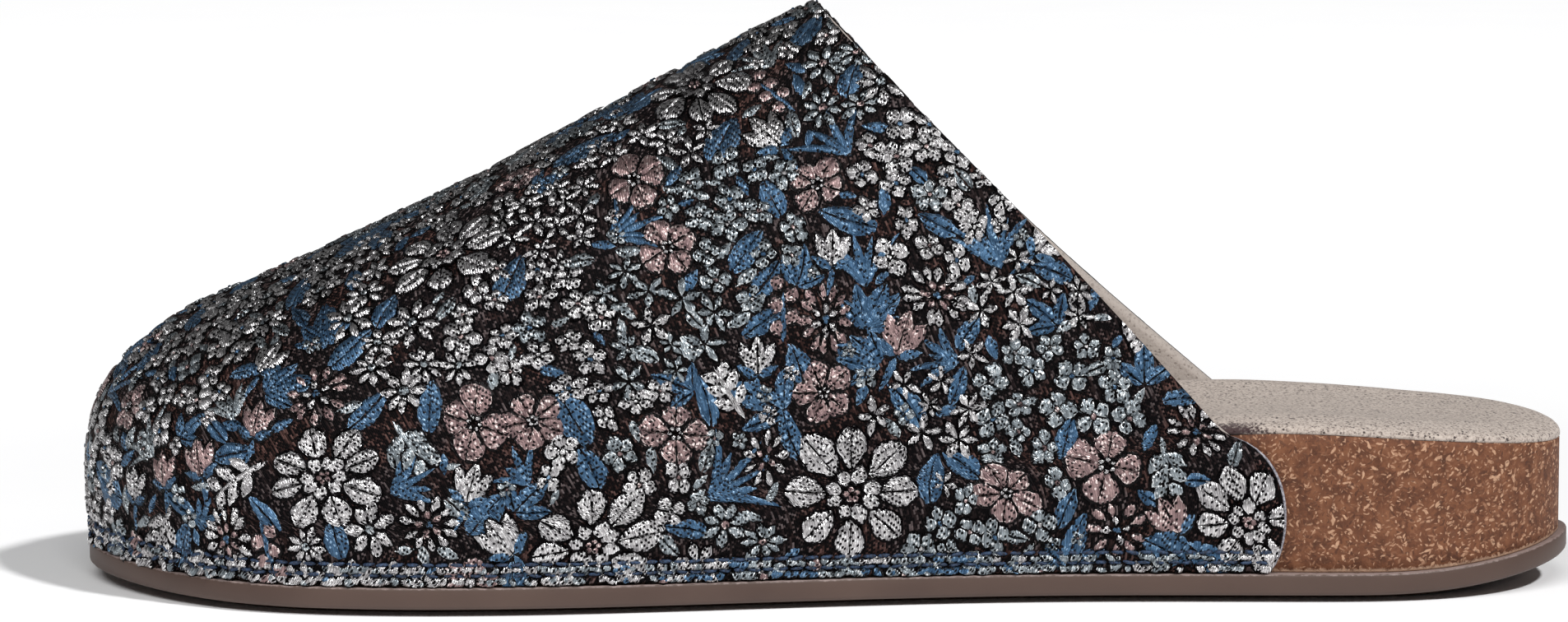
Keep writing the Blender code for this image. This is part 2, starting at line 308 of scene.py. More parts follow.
def blend(corner, s, t):  # values inside quads, from those at their four corners
    weights = ((1 - s) * (1 - t), s * (1 - t), s * t, (1 - s) * t)
    return sum(weight * corner[:, i] for i, weight in enumerate(weights))


def rough(points, size, depth, seed):  # smooth noise at points, from -depth to depth
    offset = Vector((seed * 3.7, seed * 1.9, seed * 5.3))
    return np.array([depth * noise.noise(Vector(point) / size + offset) for point in points])


# materials: one short function for each finish

def startMaterial(name, roughness, specular=0.5):
    material = bpy.data.materials.new(name)
    material.use_nodes = True
    shader = material.node_tree.nodes["Principled BSDF"]
    shader.inputs["Roughness"].default_value = roughness
    shader.inputs["Specular IOR Level"].default_value = specular
    return material, material.node_tree, shader


def addNode(tree, kind, settings=None, **inputs):  # an input is named, or i and its number
    made = tree.nodes.new("ShaderNode" + kind)
    for key, value in (settings or {}).items():
        setattr(made, key, value)
    for key, value in inputs.items():
        numbered = key[0] == "i" and key[1:].isdigit()
        socket = made.inputs[int(key[1:]) if numbered else key]
        if isinstance(value, bpy.types.NodeSocket):
            tree.links.new(value, socket)
        else:
            socket.default_value = value
    return made


def math2(tree, operation, a, b=0.0, c=0.0):
    return addNode(tree, "Math", {"operation": operation}, i0=a, i1=b, i2=c).outputs[0]


def vector(tree, operation, *inputs):
    numbered = {f"i{i}": value for i, value in enumerate(inputs)}
    made = addNode(tree, "VectorMath", {"operation": operation}, **numbered)
    return made.outputs["Value" if operation == "LENGTH" else "Vector"]


def axis(tree, place, index):  # one coordinate of a vector
    return addNode(tree, "SeparateXYZ", None, Vector=place).outputs[index]


def noiseAt(tree, place, scale, detail, roughness=0.5):
    return addNode(tree, "TexNoise", None, Vector=place, Scale=scale, Detail=detail, Roughness=roughness)


def mapped(tree, value, start, end):  # from start at 0 to end at 1
    return addNode(tree, "MapRange", None, Value=value, **{"To Min": start, "To Max": end}).outputs[0]


def softStep(tree, value, low, high, start=0.0, end=1.0):
    limits = {"From Min": low, "From Max": high, "To Min": start, "To Max": end}
    return addNode(tree, "MapRange", {"interpolation_type": "SMOOTHSTEP"}, Value=value, **limits).outputs[0]


def mixColours(tree, share, a, b, kind="MIX"):
    settings = {"data_type": "RGBA", "blend_type": kind, "clamp_result": False}
    return addNode(tree, "Mix", settings, i0=share, i6=a, i7=b).outputs[2]


def srgb(red, green, blue):  # screen colour 0 to 255 to a shader colour
    def one(value):
        value /= 255.0
        return value / 12.92 if value <= 0.04045 else ((value + 0.055) / 1.055) ** 2.4

    return (one(red), one(green), one(blue), 1.0)


def ramp(tree, value, stops):  # stops: place, screen colour
    made = addNode(tree, "ValToRGB", None, Fac=value)
    elements = made.color_ramp.elements
    while len(elements) < len(stops):
        elements.new(0.5)
    for element, (place, colour) in zip(elements, stops):
        element.position = place
        element.color = srgb(*colour)
    return made.outputs[0]


def bumpFrom(tree, shader, height, strength, depth):
    bump = addNode(tree, "Bump", None, Height=height, Strength=strength, Distance=depth * mm)
    tree.links.new(bump.outputs[0], shader.inputs["Normal"])


def placeCoordinates(tree):  # the frame's own coordinates, in millimetres
    place = addNode(tree, "TexCoord").outputs["Object"]
    return addNode(tree, "VectorMath", {"operation": "SCALE"}, Vector=place, Scale=1.0 / mm).outputs[0]


thread = {
    "pitch": 0.42,
    "float": 1.35,
    "groundPitch": 0.36,
    "groundFloat": 0.80,
    "drift": {"scale": 0.12, "reach": 0.8},  # slow waves in the run of the threads
    "satinStep": 0.4,
    "uneven": 0.35,  # how far a thread's floats slip along it
    "gapSize": (0.26, 0.62),  # half the dark gap between two floats: millimetres along, threads across
    "gapShare": 0.55,  # how many of the gaps show
    "paintedGlintSize": (0.24, 0.50),  # half the painted highlight spot on a float's back
    "paintedGlintShare": 0.30,
    "spotEdge": (0.75, 1.1),
    "grooveShade": 0.45,  # darkness of the painted shade in the groove between threads
    "grooveShadeWidth": 0.16,
    "lowEnd": 0.35,  # height of a float's end, as a share of its middle
    "lean": 0.8,
    # near-black outline round each motif: the dark ground showing, with painted shade at the foot of the
    # raised patch
    "ground": srgb(5, 3, 4),
    "patchTones": (0.80, 1.08),
    "rimCut": (-0.55, 0.45),  # where a float ends on the rim, by its tint
    "paintedRimGlint": (0.06, 0.55, 0.8, 0.0),
    "flat": {"slope": (0.40, 0.74), "tone": 0.36},  # painted shade: the print is darker where the cloth faces up, over the ridge and the toe's top
    "crinkle": {"scale": 0.5, "x": (-118.0, -92.0), "share": (3.2, 0.6)},
}


def spotOn(tree, alongThread, acrossThread, size):  # 1 in an oval spot, 0 outside it
    reach = math2(tree, "DIVIDE", alongThread, size[0])
    side = math2(tree, "DIVIDE", acrossThread, size[1])
    away = vector(tree, "LENGTH", addNode(tree, "CombineXYZ", None, X=reach, Y=side).outputs[0])
    return softStep(tree, away, *thread["spotEdge"], 1.0, 0.0)


def threadPattern(tree, pitch, length):  # each float's random tint, painted highlight spots, dark spots with painted shade between threads, height
    uv = addNode(tree, "UVMap", {"uv_map": "cloth"}).outputs[0]
    drift = noiseAt(tree, uv, thread["drift"]["scale"], 1.0).outputs["Color"]
    moved = vector(tree, "MULTIPLY_ADD", drift, (0.0, thread["drift"]["reach"], 0.0), uv)
    parts = addNode(tree, "SeparateXYZ", None, Vector=moved)
    rows = math2(tree, "DIVIDE", parts.outputs[1], pitch)
    row = math2(tree, "FLOOR", rows)
    lane = math2(tree, "PINGPONG", rows, 0.5)  # 0 between two threads, 0.5 on a thread's back
    slip = addNode(tree, "TexWhiteNoise", {"noise_dimensions": "1D"}, W=row).outputs["Value"]
    start = math2(tree, "MULTIPLY", slip, thread["uneven"])
    start = math2(tree, "MULTIPLY_ADD", row, thread["satinStep"], start)
    run = math2(tree, "ADD", start, math2(tree, "DIVIDE", parts.outputs[0], length))
    fromEnd = math2(tree, "MULTIPLY", math2(tree, "PINGPONG", run, 0.5), length)
    cell = addNode(tree, "CombineXYZ", None, X=row, Y=math2(tree, "FLOOR", run)).outputs[0]
    chance = addNode(tree, "TexWhiteNoise", {"noise_dimensions": "2D"}, Vector=cell).outputs["Color"]
    tint, luck, twist = addNode(tree, "SeparateColor", None, Color=chance).outputs
    offBack = math2(tree, "SUBTRACT", 0.5, lane)
    gap = spotOn(tree, fromEnd, offBack, thread["gapSize"])
    gap = math2(tree, "MULTIPLY", gap, math2(tree, "LESS_THAN", slip, thread["gapShare"]))
    # painted shade in the groove between two threads
    grooveShade = softStep(tree, lane, 0.0, thread["grooveShadeWidth"], thread["grooveShade"], 0.0)
    dark = math2(tree, "MAXIMUM", gap, grooveShade)
    # painted highlight on the back of some floats
    bead = spotOn(tree, math2(tree, "SUBTRACT", length / 2, fromEnd), offBack, thread["paintedGlintSize"])
    bead = math2(tree, "MULTIPLY", bead, math2(tree, "LESS_THAN", luck, thread["paintedGlintShare"]))
    bow = softStep(tree, fromEnd, 0.0, length / 2, thread["lowEnd"], 1.0)
    back = math2(tree, "MULTIPLY", softStep(tree, lane, 0.0, 0.5), bow)
    lean = math2(tree, "MULTIPLY", math2(tree, "FRACT", run), math2(tree, "SUBTRACT", twist, 0.5))
    return tint, bead, dark, math2(tree, "MULTIPLY_ADD", lean, thread["lean"], back)


def toeCrinkle(tree, height):  # the cloth is gathered round the toe, so its floats lie rougher there
    crinkle = thread["crinkle"]
    place = placeCoordinates(tree)
    folds = noiseAt(tree, place, crinkle["scale"], 2.0).outputs[0]
    share = softStep(tree, axis(tree, place, 0), *crinkle["x"], *crinkle["share"])
    return math2(tree, "MULTIPLY_ADD", folds, share, height)


def paintedTopShade(tree):  # 1 on the sides, less where the cloth faces up: painted shade on the ridge and the toe's top
    up = axis(tree, addNode(tree, "NewGeometry").outputs["Normal"], 2)
    return softStep(tree, up, *thread["flat"]["slope"], 1.0, thread["flat"]["tone"])


def toned(tree, colour, share):  # the colour made darker by a share
    grey = addNode(tree, "CombineColor", None, Red=share, Green=share, Blue=share).outputs[0]
    return mixColours(tree, 1.0, colour, grey, "MULTIPLY")


def floatMaterial(name, light, mid, dark, paintedGlint, metal, gloss):
    light, mid, dark, paintedGlint = (srgb(*colour) for colour in (light, mid, dark, paintedGlint))
    material, tree, shader = startMaterial(name, gloss, 0.2)
    shader.inputs["Metallic"].default_value = metal
    tint, beads, gaps, height = threadPattern(tree, thread["pitch"], thread["float"])
    island = addNode(tree, "NewGeometry").outputs["Random Per Island"]
    # flat: painted shade, the print darker where the cloth faces up
    flat = paintedTopShade(tree)
    shade = math2(tree, "MULTIPLY", mapped(tree, island, *thread["patchTones"]), flat)
    colour = toned(tree, mixColours(tree, tint, mid, light), shade)
    rim = addNode(tree, "Attribute", {"attribute_name": "rim"}).outputs["Fac"]  # below 0 on the skirt
    past = math2(tree, "SUBTRACT", rim, mapped(tree, tint, *thread["rimCut"]))
    # painted glints on the thread ends along the motif's rim
    ends = softStep(tree, past, *thread["paintedRimGlint"])
    ends = math2(tree, "MULTIPLY", ends, math2(tree, "GREATER_THAN", tint, 0.5))
    paintedHighlights = math2(tree, "MAXIMUM", ends, beads)  # painted highlights on the thread ends at the rim and on the floats' backs
    # painted highlights, darkened by the painted shade where the cloth faces up
    colour = mixColours(tree, paintedHighlights, colour, toned(tree, paintedGlint, flat))
    colour = mixColours(tree, gaps, colour, dark)
    # below the cut: the near-black outline, ground with painted shade
    shown = math2(tree, "GREATER_THAN", past, 0.0)
    tree.links.new(mixColours(tree, shown, thread["ground"], colour), shader.inputs["Base Color"])
    bumpFrom(tree, shader, toeCrinkle(tree, height), 1.0, 0.13)
    return material


ground = {  # a thread's random tint, screen colour
    "black": [(0.3, (6, 4, 5)), (0.72, (34, 26, 26)), (0.98, (90, 80, 80))],
    "brown": [(0.3, (10, 6, 6)), (0.72, (50, 33, 30)), (0.98, (92, 68, 63))],
    "gap": (4, 3, 4),
}


def groundMaterial():
    material, tree, shader = startMaterial("dark_ground_weave", 0.7, 0.06)
    tint, _, gaps, height = threadPattern(tree, thread["groundPitch"], thread["groundFloat"])
    cloud = noiseAt(tree, placeCoordinates(tree), 0.09, 2.0).outputs[0]
    black, brown = (ramp(tree, tint, ground[key]) for key in ("black", "brown"))
    colour = mixColours(tree, softStep(tree, cloud, 0.46, 0.60), black, brown)
    # gaps: binding dots, with painted shade in the grooves between threads
    tree.links.new(mixColours(tree, gaps, colour, srgb(*ground["gap"])), shader.inputs["Base Color"])
    bumpFrom(tree, shader, height, 0.8, 0.10)
    return material


suede = {
    "pits": [(1.35, 0.38, 0.52), (0.55, 0.22, 0.30)],  # cells in a millimetre, size, share of the cells
    # dark patch where the flaps' tops press on the rim: loose fibres and painted shade under the flap, the
    # same on both sides
    "fibresAndShade": {"place": (66.5, 31.5, 29.0), "size": (9.0, 5.0, 6.0), "colour": (52, 34, 37), "ragged": 1.6,
             "edge": (1.2, 1.7, 0.95, 0.0)},
}


def poreLayer(tree, place, scale, size, share):  # dark pits in some of the cells
    cell = addNode(tree, "TexVoronoi", None, Vector=place, Scale=scale)
    pit = softStep(tree, cell.outputs["Distance"], 0.5 * size, size, 1.0, 0.0)
    some = addNode(tree, "SeparateColor", None, Color=cell.outputs["Color"]).outputs[0]
    return math2(tree, "MULTIPLY", pit, softStep(tree, some, 1.0 - share, 1.2 - share))


def suedeMaterial(name, tone, pore, pale, depth, fibresAndShade=None):
    material, tree, shader = startMaterial(name, 0.95, 0.15)
    shader.inputs["Sheen Weight"].default_value = 0.15
    shader.inputs["Sheen Roughness"].default_value = 0.6
    place = placeCoordinates(tree)
    cloud = noiseAt(tree, place, 0.06, 4.0).outputs[0]
    nap = noiseAt(tree, place, 1.9, 3.0, 0.75).outputs[0]
    base = ramp(tree, cloud, [(0.3, tone), (0.7, pale)])
    grain = ramp(tree, nap, [(0.33, pore), (0.45, tone), (0.60, pale)])
    colour = mixColours(tree, depth, base, grain)
    pits = math2(tree, "MAXIMUM", *(poreLayer(tree, place, *row) for row in suede["pits"]))
    colour = mixColours(tree, math2(tree, "MULTIPLY", pits, depth), colour, srgb(*pore))
    if fibresAndShade:
        # painted shade and dark fibres behind each flap's top
        near = vector(tree, "SUBTRACT", vector(tree, "ABSOLUTE", place), fibresAndShade["place"])
        away = vector(tree, "LENGTH", vector(tree, "DIVIDE", near, fibresAndShade["size"]))
        away = math2(tree, "MULTIPLY_ADD", nap, fibresAndShade["ragged"], away)
        colour = mixColours(tree, softStep(tree, away, *fibresAndShade["edge"]), colour, srgb(*fibresAndShade["colour"]))
    tree.links.new(colour, shader.inputs["Base Color"])
    bumpFrom(tree, shader, math2(tree, "SUBTRACT", nap, pits), 0.6, 0.14)
    return material


flakes = {
    "layers": [  # cells in a millimetre, length and width of a flake, strength
        (0.42, 0.95, 0.34, 0.65),
        (0.62, 0.80, 0.26, 0.75),
        (0.9, 0.58, 0.20, 0.75),
        (1.5, 0.36, 0.15, 0.6),
    ],
    "tones": [(0.15, (74, 43, 29)), (0.5, (132, 89, 64)), (0.95, (200, 160, 130))],
    "base": [(0.30, (70, 40, 25)), (0.50, (101, 61, 40)), (0.72, (126, 82, 56))],
    "turnAxis": (0.3, 1.0, 0.2),
    "swirl": (0.9, 0.9, 0.9),
    "height": 0.25,
}
joints = {  # broken pale specks along the cork's foot and the rubber's top edge
    "cork": {"width": 0.7, "share": 0.75, "colour": (205, 172, 146)},
    "rubber": {"width": 0.36, "share": 0.40, "colour": (186, 168, 164)},
}


def flakeLayer(tree, place, scale, longer, wider):  # one turned sliver in each cell
    cell = addNode(tree, "TexVoronoi", None, Vector=place, Scale=scale)
    inside = vector(tree, "SUBTRACT", place, cell.outputs["Position"])
    chance = addNode(tree, "SeparateColor", None, Color=cell.outputs["Color"])
    angle = math2(tree, "MULTIPLY", chance.outputs[0], 6.2832)
    spun = addNode(tree, "VectorRotate", {"rotation_type": "AXIS_ANGLE"},
                   Vector=inside, Axis=flakes["turnAxis"], Angle=angle).outputs[0]
    reach = vector(tree, "LENGTH", vector(tree, "MULTIPLY", spun, (1 / longer, 1 / longer, 1 / wider)))
    return softStep(tree, reach, 0.65, 1.0, 1.0, 0.0), chance.outputs[1]


def jointSpecks(tree, place, colour, joint):  # where rim is near 0
    rim = addNode(tree, "Attribute", {"attribute_name": "rim"}).outputs["Fac"]
    patch = noiseAt(tree, place, 0.9, 3.0, 0.7).outputs[0]
    width = joint["width"]
    reach = math2(tree, "MULTIPLY_ADD", patch, -2.2 * width, rim)
    share = softStep(tree, reach, -1.1 * width, -0.4 * width, joint["share"], 0.0)
    return mixColours(tree, share, colour, srgb(*joint["colour"]))


def corkMaterial():
    material, tree, shader = startMaterial("cork", 0.72, 0.3)
    place = placeCoordinates(tree)
    swirl = noiseAt(tree, place, 0.8, 2.0).outputs["Color"]
    place = vector(tree, "MULTIPLY_ADD", swirl, flakes["swirl"], place)
    cloud = noiseAt(tree, place, 0.45, 5.0, 0.65).outputs[0]
    base = ramp(tree, cloud, flakes["base"])
    height = cloud
    for scale, longer, wider, tan in flakes["layers"]:
        mask, chance = flakeLayer(tree, place, scale, longer, wider)
        flake = ramp(tree, chance, flakes["tones"])
        base = mixColours(tree, math2(tree, "MULTIPLY", mask, tan), base, flake)
        height = math2(tree, "ADD", height, math2(tree, "MULTIPLY", mask, flakes["height"]))
    base = jointSpecks(tree, place, base, joints["cork"])
    tree.links.new(base, shader.inputs["Base Color"])
    bumpFrom(tree, shader, height, 0.5, 0.12)
    return material


def rubberMaterial():
    material, tree, shader = startMaterial("taupe_rubber", 0.52, 0.4)
    place = placeCoordinates(tree)
    grain = noiseAt(tree, place, 3.0, 3.0).outputs[0]
    cloud = noiseAt(tree, place, 0.05, 3.0).outputs[0]
    colour = ramp(tree, cloud, [(0.3, (72, 55, 48)), (0.7, (82, 64, 56))])
    colour = jointSpecks(tree, place, colour, joints["rubber"])
    tree.links.new(colour, shader.inputs["Base Color"])
    bumpFrom(tree, shader, grain, 0.25, 0.05)
    return material


def yarnMaterial(name, light, dark):  # twisted sewing yarn and raw cloth edges
    material, tree, shader = startMaterial(name, 0.6, 0.4)
    grain = noiseAt(tree, placeCoordinates(tree), 2.6, 2.0).outputs[0]
    tree.links.new(ramp(tree, grain, [(0.35, dark), (0.65, light)]), shader.inputs["Base Color"])
    bumpFrom(tree, shader, grain, 0.5, 0.1)
    return material


floats = {  # name, screen colours of light and mid floats, gaps and painted glints, metal, roughness
    "silver": (
        "silver_floats", (226, 223, 223), (166, 163, 165), (4, 3, 5), (255, 255, 255), 0.74, 0.24),
    "greyBlue": (
        "grey_blue_floats", (174, 183, 188), (114, 122, 128), (4, 5, 7), (244, 248, 250), 0.64, 0.29),
    "leafBlue": (
        "leaf_blue_floats", (80, 114, 146), (50, 79, 108), (5, 9, 17), (138, 170, 200), 0.28, 0.36),
    "mauve": (
        "mauve_floats", (176, 148, 146), (120, 98, 99), (15, 9, 11), (248, 230, 226), 0.40, 0.34),
}
materials = {key: floatMaterial(*row) for key, row in floats.items()}
materials.update({
    "ground": groundMaterial(),
    "lining": suedeMaterial("lining_suede", (164, 154, 147), (112, 102, 95), (172, 162, 154), 0.5),
    "insole": suedeMaterial(
        "insole_suede", (163, 150, 141), (58, 49, 47), (190, 178, 168), 0.95, suede["fibresAndShade"]),
    "cork": corkMaterial(),
    "rubber": rubberMaterial(),
    "navy": yarnMaterial("navy_yarn", (46, 68, 98), (10, 16, 32)),
    "edge": yarnMaterial("pale_edge", (170, 168, 174), (92, 90, 98)),
})
print("materials made:", len(materials))


# sole: outsole, cork and insole are closed plates on the outline

def plateMesh(rings, bottom, top, steps=200, cross=20):
    shares = np.linspace(0.0, 1.0, steps + 1)
    place, normal = (np.vstack([a, b[-2:0:-1]]) for a, b in
                     zip(halfRail("lateral", shares), halfRail("medial", shares)))
    around = len(place)
    side = np.repeat([-1.0, 1.0], [steps + 1, steps - 1])
    points = []
    for inset, height in rings:
        spot = place + normal * inset(place[:, 0])[:, None]
        points.append(np.column_stack([spot, height(spot[:, 0], side, spot[:, 1])]))
    faces = []
    for ring in range(len(rings) - 1):
        low = ring * around + np.arange(around)
        faces += strip(low, low + around)
    count = around * len(rings)
    for ring, surface, upward in ((0, bottom, False), (len(rings) - 1, top, True)):
        rim = points[ring]
        share = np.linspace(0.0, 1.0, cross + 1)[1:-1]
        left = rim[1:steps]
        right = rim[:steps:-1]
        inner = left[:, None] + (right - left)[:, None] * share[None, :, None]
        across = np.broadcast_to(2.0 * share - 1.0, inner.shape[:2])
        inner[..., 2] = surface(inner[..., 0], across, inner[..., 1])
        base = ring * around
        rows = [[base] * (cross + 1)]
        for i in range(1, steps):
            first = count + (i - 1) * (cross - 1)
            rows.append([base + i] + list(range(first, first + cross - 1)) + [base + around - i])
        rows.append([base + steps] * (cross + 1))
        for before, after in zip(rows, rows[1:]):
            for k in range(cross):
                face = list(dict.fromkeys([before[k], before[k + 1], after[k + 1], after[k]]))
                faces.append(face[::-1] if upward else face)
        points.append(inner.reshape(-1, 3))
        count += inner.shape[0] * inner.shape[1]
    return np.vstack(points), faces


def fixed(value):
    return lambda x: np.full_like(x, value)


outsole = {
    "edge": 0.7,
    "draft": 0.3,
    "topEdge": 0.35,
    "groove": {  # shares of the length for front, back and waist
        "depth": 0.5, "pitch": 5.2, "wave": (1.6, 5.0), "wall": (0.55, 0.85), "margin": (0.10, 0.16),
        "front": (0.06, 0.08), "back": (0.90, 0.92), "waist": ((0.48, 0.50), (0.66, 0.68)),
    },
}


def makeOutsole():
    def level(height):
        return lambda x, across, y: soleLift(x) + height

    thick = last["outsoleThick"]
    edge = outsole["edge"]
    topEdge = outsole["topEdge"]
    tread = last["treadHeight"]
    inset = last["treadInset"]
    rings = [(fixed(inset), level(0.0)), (fixed(inset - outsole["draft"]), level(tread))]
    for turn in np.radians([0.0, 30.0, 60.0, 90.0]):
        rings.append((fixed(edge * (1.0 - math.sin(turn))), level(tread + edge * (1.0 - math.cos(turn)))))
    for inward, drop in ((0.0, 1.0), (0.3, 0.3), (1.0, 0.0)):
        rings.append((fixed(inward * topEdge), level(thick - drop * topEdge)))
    groove = outsole["groove"]

    def underside(x, across, y):  # wavy grooves, kept inside a smooth margin
        reach, length = groove["wave"]
        wave = np.cos((x + reach * np.sin(y / length)) * 2.0 * np.pi / groove["pitch"])
        inside = smoothStep(1.0 - np.abs(across), *groove["margin"])
        ends = easeIn(x, groove["front"]) * (1.0 - easeIn(x, groove["back"]))
        waist = 1.0 - easeIn(x, groove["waist"][0]) * (1.0 - easeIn(x, groove["waist"][1]))
        return soleLift(x) + groove["depth"] * smoothStep(wave, *groove["wall"]) * inside * ends * waist

    points, faces = plateMesh(rings, underside, level(thick), steps=300, cross=40)
    fromTop = soleLift(points[:, 0]) + thick - points[:, 2]
    piece = makePiece("outsole_rubber", points, faces, materials["rubber"], sharpAngle=50, rim=fromTop)
    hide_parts("outsole")


cork = {"edge": 0.3, "unevenDepth": 0.10, "unevenSize": 3.0}


def makeCork():  # reaches down to the outsole, with no open joint
    edge = cork["edge"]

    def inset(share, extra):
        return lambda x: corkInset(x) - wallFlare(x) * share + extra

    def level(share, extra):
        return lambda x, across, y: corkBase(x) + (corkTop(x, across) - corkBase(x)) * share + extra

    def base(x, across, y):
        return corkBase(x) - last["gap"]

    rings = [(inset(0.0, edge), level(0.0, -last["gap"])), (inset(0.0, 0.0), level(0.0, 0.0))]
    rings += [(inset(share, 0.0), level(share, 0.0)) for share in np.linspace(0.1, 0.9, 17)]
    rings += [(inset(1.0, 0.0), level(1.0, -edge)), (inset(1.0, edge), level(1.0, 0.0))]
    points, faces = plateMesh(rings, base, lambda x, across, y: corkTop(x, across))
    shown = points[:, 0] > along(0.66)
    points[shown, 1] += rough(points[shown], cork["unevenSize"], cork["unevenDepth"], 2)
    fromBase = points[:, 2] - corkBase(points[:, 0])
    piece = makePiece("cork_body", points, faces, materials["cork"], sharpAngle=60, rim=fromBase)
    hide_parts("cork_midsole")


insole = {
    "edge": [  # inset from the cork's rim, height over the cork on the lateral and on the medial side
        (0.60, -0.05, -0.05), (0.12, -0.10, -0.10), (-0.06, 0.12, 0.15), (-0.08, 0.45, 0.60),
        (0.04, 0.75, 0.98), (0.25, 0.95, 1.28), (0.70, 1.18, 1.58), (1.60, 1.48, 1.86),
        (3.20, 1.82, 2.08), (5.50, 2.10, 2.24), (8.50, 2.30, 2.30),
    ],
    "sideChange": (-24.0, 16.0),  # across the heel's back, one edge turns into the other
    "dip": {"x": 90.0, "length": 20.0, "depth": 0.45, "side": (2.0, 20.0)},  # worn-down medial rim
    "flatEnd": (98.0, 117.0),  # the heel cup runs out towards the heel tip
    "heelRise": {"height": 0.75, "x": (100.0, 122.0), "side": (-18.0, 6.0)},  # rolled up behind the heel
    "unevenDepth": 0.12,
    "unevenSize": 5.0,
}


def makeInsole():
    def edge(depth):
        return lambda x: corkInset(x) - wallFlare(x) + depth

    thick = last["gap"] + last["insoleThick"]

    def worn(x, y):
        dip, rise = insole["dip"], insole["heelRise"]
        low = dip["depth"] * np.exp(-(((x - dip["x"]) / dip["length"]) ** 2)) * smoothStep(y, *dip["side"])
        return low - rise["height"] * smoothStep(x, *rise["x"]) * smoothStep(y, *rise["side"])

    def level(lateral, medial):
        return lambda x, across, y: (
            corkTop(x, across) + lateral + (medial - lateral) * smoothStep(y, *insole["sideChange"])
            - worn(x, y) * np.clip(medial / thick, 0.0, 1.0))

    def top(x, across, y):
        spots = np.stack([x, y, np.zeros_like(x)], axis=-1).reshape(-1, 3)
        bumps = rough(spots, insole["unevenSize"], insole["unevenDepth"], 5).reshape(x.shape)
        inside = smoothStep(1.0 - np.abs(across), 0.0, 0.35)
        cup = (corkTop(x, across) - corkRim(x)) * (1.0 - smoothStep(x, *insole["flatEnd"]))
        return corkRim(x) + cup + bumps * inside - worn(x, y) + thick

    rings = [(edge(inset), level(lateral, medial)) for inset, lateral, medial in insole["edge"]]
    points, faces = plateMesh(rings, lambda x, across, y: corkTop(x, across), top, steps=240, cross=48)
    piece = makePiece("insole_suede", points, faces, materials["insole"])
    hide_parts("insole")


makeOutsole()
makeCork()
makeInsole()
print("sole made")


# upper: the surface of the last over station (toe to back) and level (hem to ridge)

def startSide(name):
    place, normal = halfRail(name, np.linspace(0.0, 1.0, 400))
    reach = int(np.searchsorted(place[:, 0], along(last["sideBack"])))
    stations = np.linspace(0.0, 1.0, reach)
    return {"name": name, "place": place[:reach], "normal": normal[:reach], "stations": stations}


def sidePoint(side, station, level):
    station, level = np.broadcast_arrays(np.asarray(station, float), np.asarray(level, float))
    x, y, nx, ny = (np.interp(station, side["stations"], side[key][:, i])
                    for key in ("place", "normal") for i in (0, 1))
    depth = corkInset(x) - last["gap"] - last["wall"]
    hemX = x + nx * depth
    hemY = y + ny * depth
    low = corkBase(hemX)
    shoulder = corkRim(hemX) + last["shoulderRise"]
    rise = np.minimum(level / last["wallShare"], 1.0)
    flare = wallFlare(hemX) * np.sin(rise * np.pi / 2)
    footX = hemX - nx * flare
    footY = hemY - ny * flare
    turn = np.clip((level - last["wallShare"]) / (1.0 - last["wallShare"]), 0.0, 1.0) * np.pi / 2
    power = 2.0 / fullnessAt(station)
    inset = 1.0 - np.clip(np.cos(turn), 0.0, 1.0) ** power
    lift = np.sin(turn) ** power
    ridgeX = along(last["ridgeFront"] + (last["ridgeBack"] - last["ridgeFront"]) * station)
    toeY = last["outline"][0][2] * last["ballWidth"] / 2
    ridgeY = toeY * (1.0 - station) + last["ridgeShift"] * station
    px = footX + (ridgeX - footX) * inset
    py = footY + (ridgeY - footY) * inset
    dome = shoulder + (crownLine(px) - shoulder) * lift
    pz = np.where(level <= last["wallShare"], low + (shoulder - low) * rise, dome)
    return np.stack([px, py, pz], axis=-1)


def toplineX(side, z):
    slope, bow = last["topline"][side["name"]]
    height = last["instepHeight"]
    drop = np.clip((height - z) / (height - last["toplineFoot"]), 0.0, 1.0)
    peak = along(next(share for name, share, _ in last["crown"] if name == "peak"))
    line = peak + (height - z) * slope + bow * np.sin(np.pi * drop)
    over = 1.0 - np.abs((z - last["flapHeight"]) / last["flapRise"]) ** last["flapFullness"]
    reach = np.clip(over, 0.0, 1.0) ** (1.0 / last["flapFullness"])
    flap = along(last["flapCentre"]) + last["flapReach"] * reach
    upperPart = z > last["flapHeight"] + last["flapRise"] / 2
    return np.where(over <= 0.0, line, np.where(upperPart, np.maximum(line, flap), flap))


def endStation(side, levels):
    low = np.zeros_like(levels)
    high = np.ones_like(levels)
    for _ in range(40):
        middle = (low + high) / 2
        spot = sidePoint(side, middle, levels)
        inside = spot[:, 0] < toplineX(side, spot[:, 2])
        low = np.where(inside, middle, low)
        high = np.where(inside, high, middle)
    return low


def clothLevels(wallRows, domeRows):  # rows lie closer near the hem
    wall = last["wallShare"] * np.linspace(0.0, 1.0, wallRows + 1) ** 1.3
    dome = last["wallShare"] + (1.0 - last["wallShare"]) * np.linspace(0.0, 1.0, domeRows + 1)[1:]
    return np.concatenate([wall, dome])


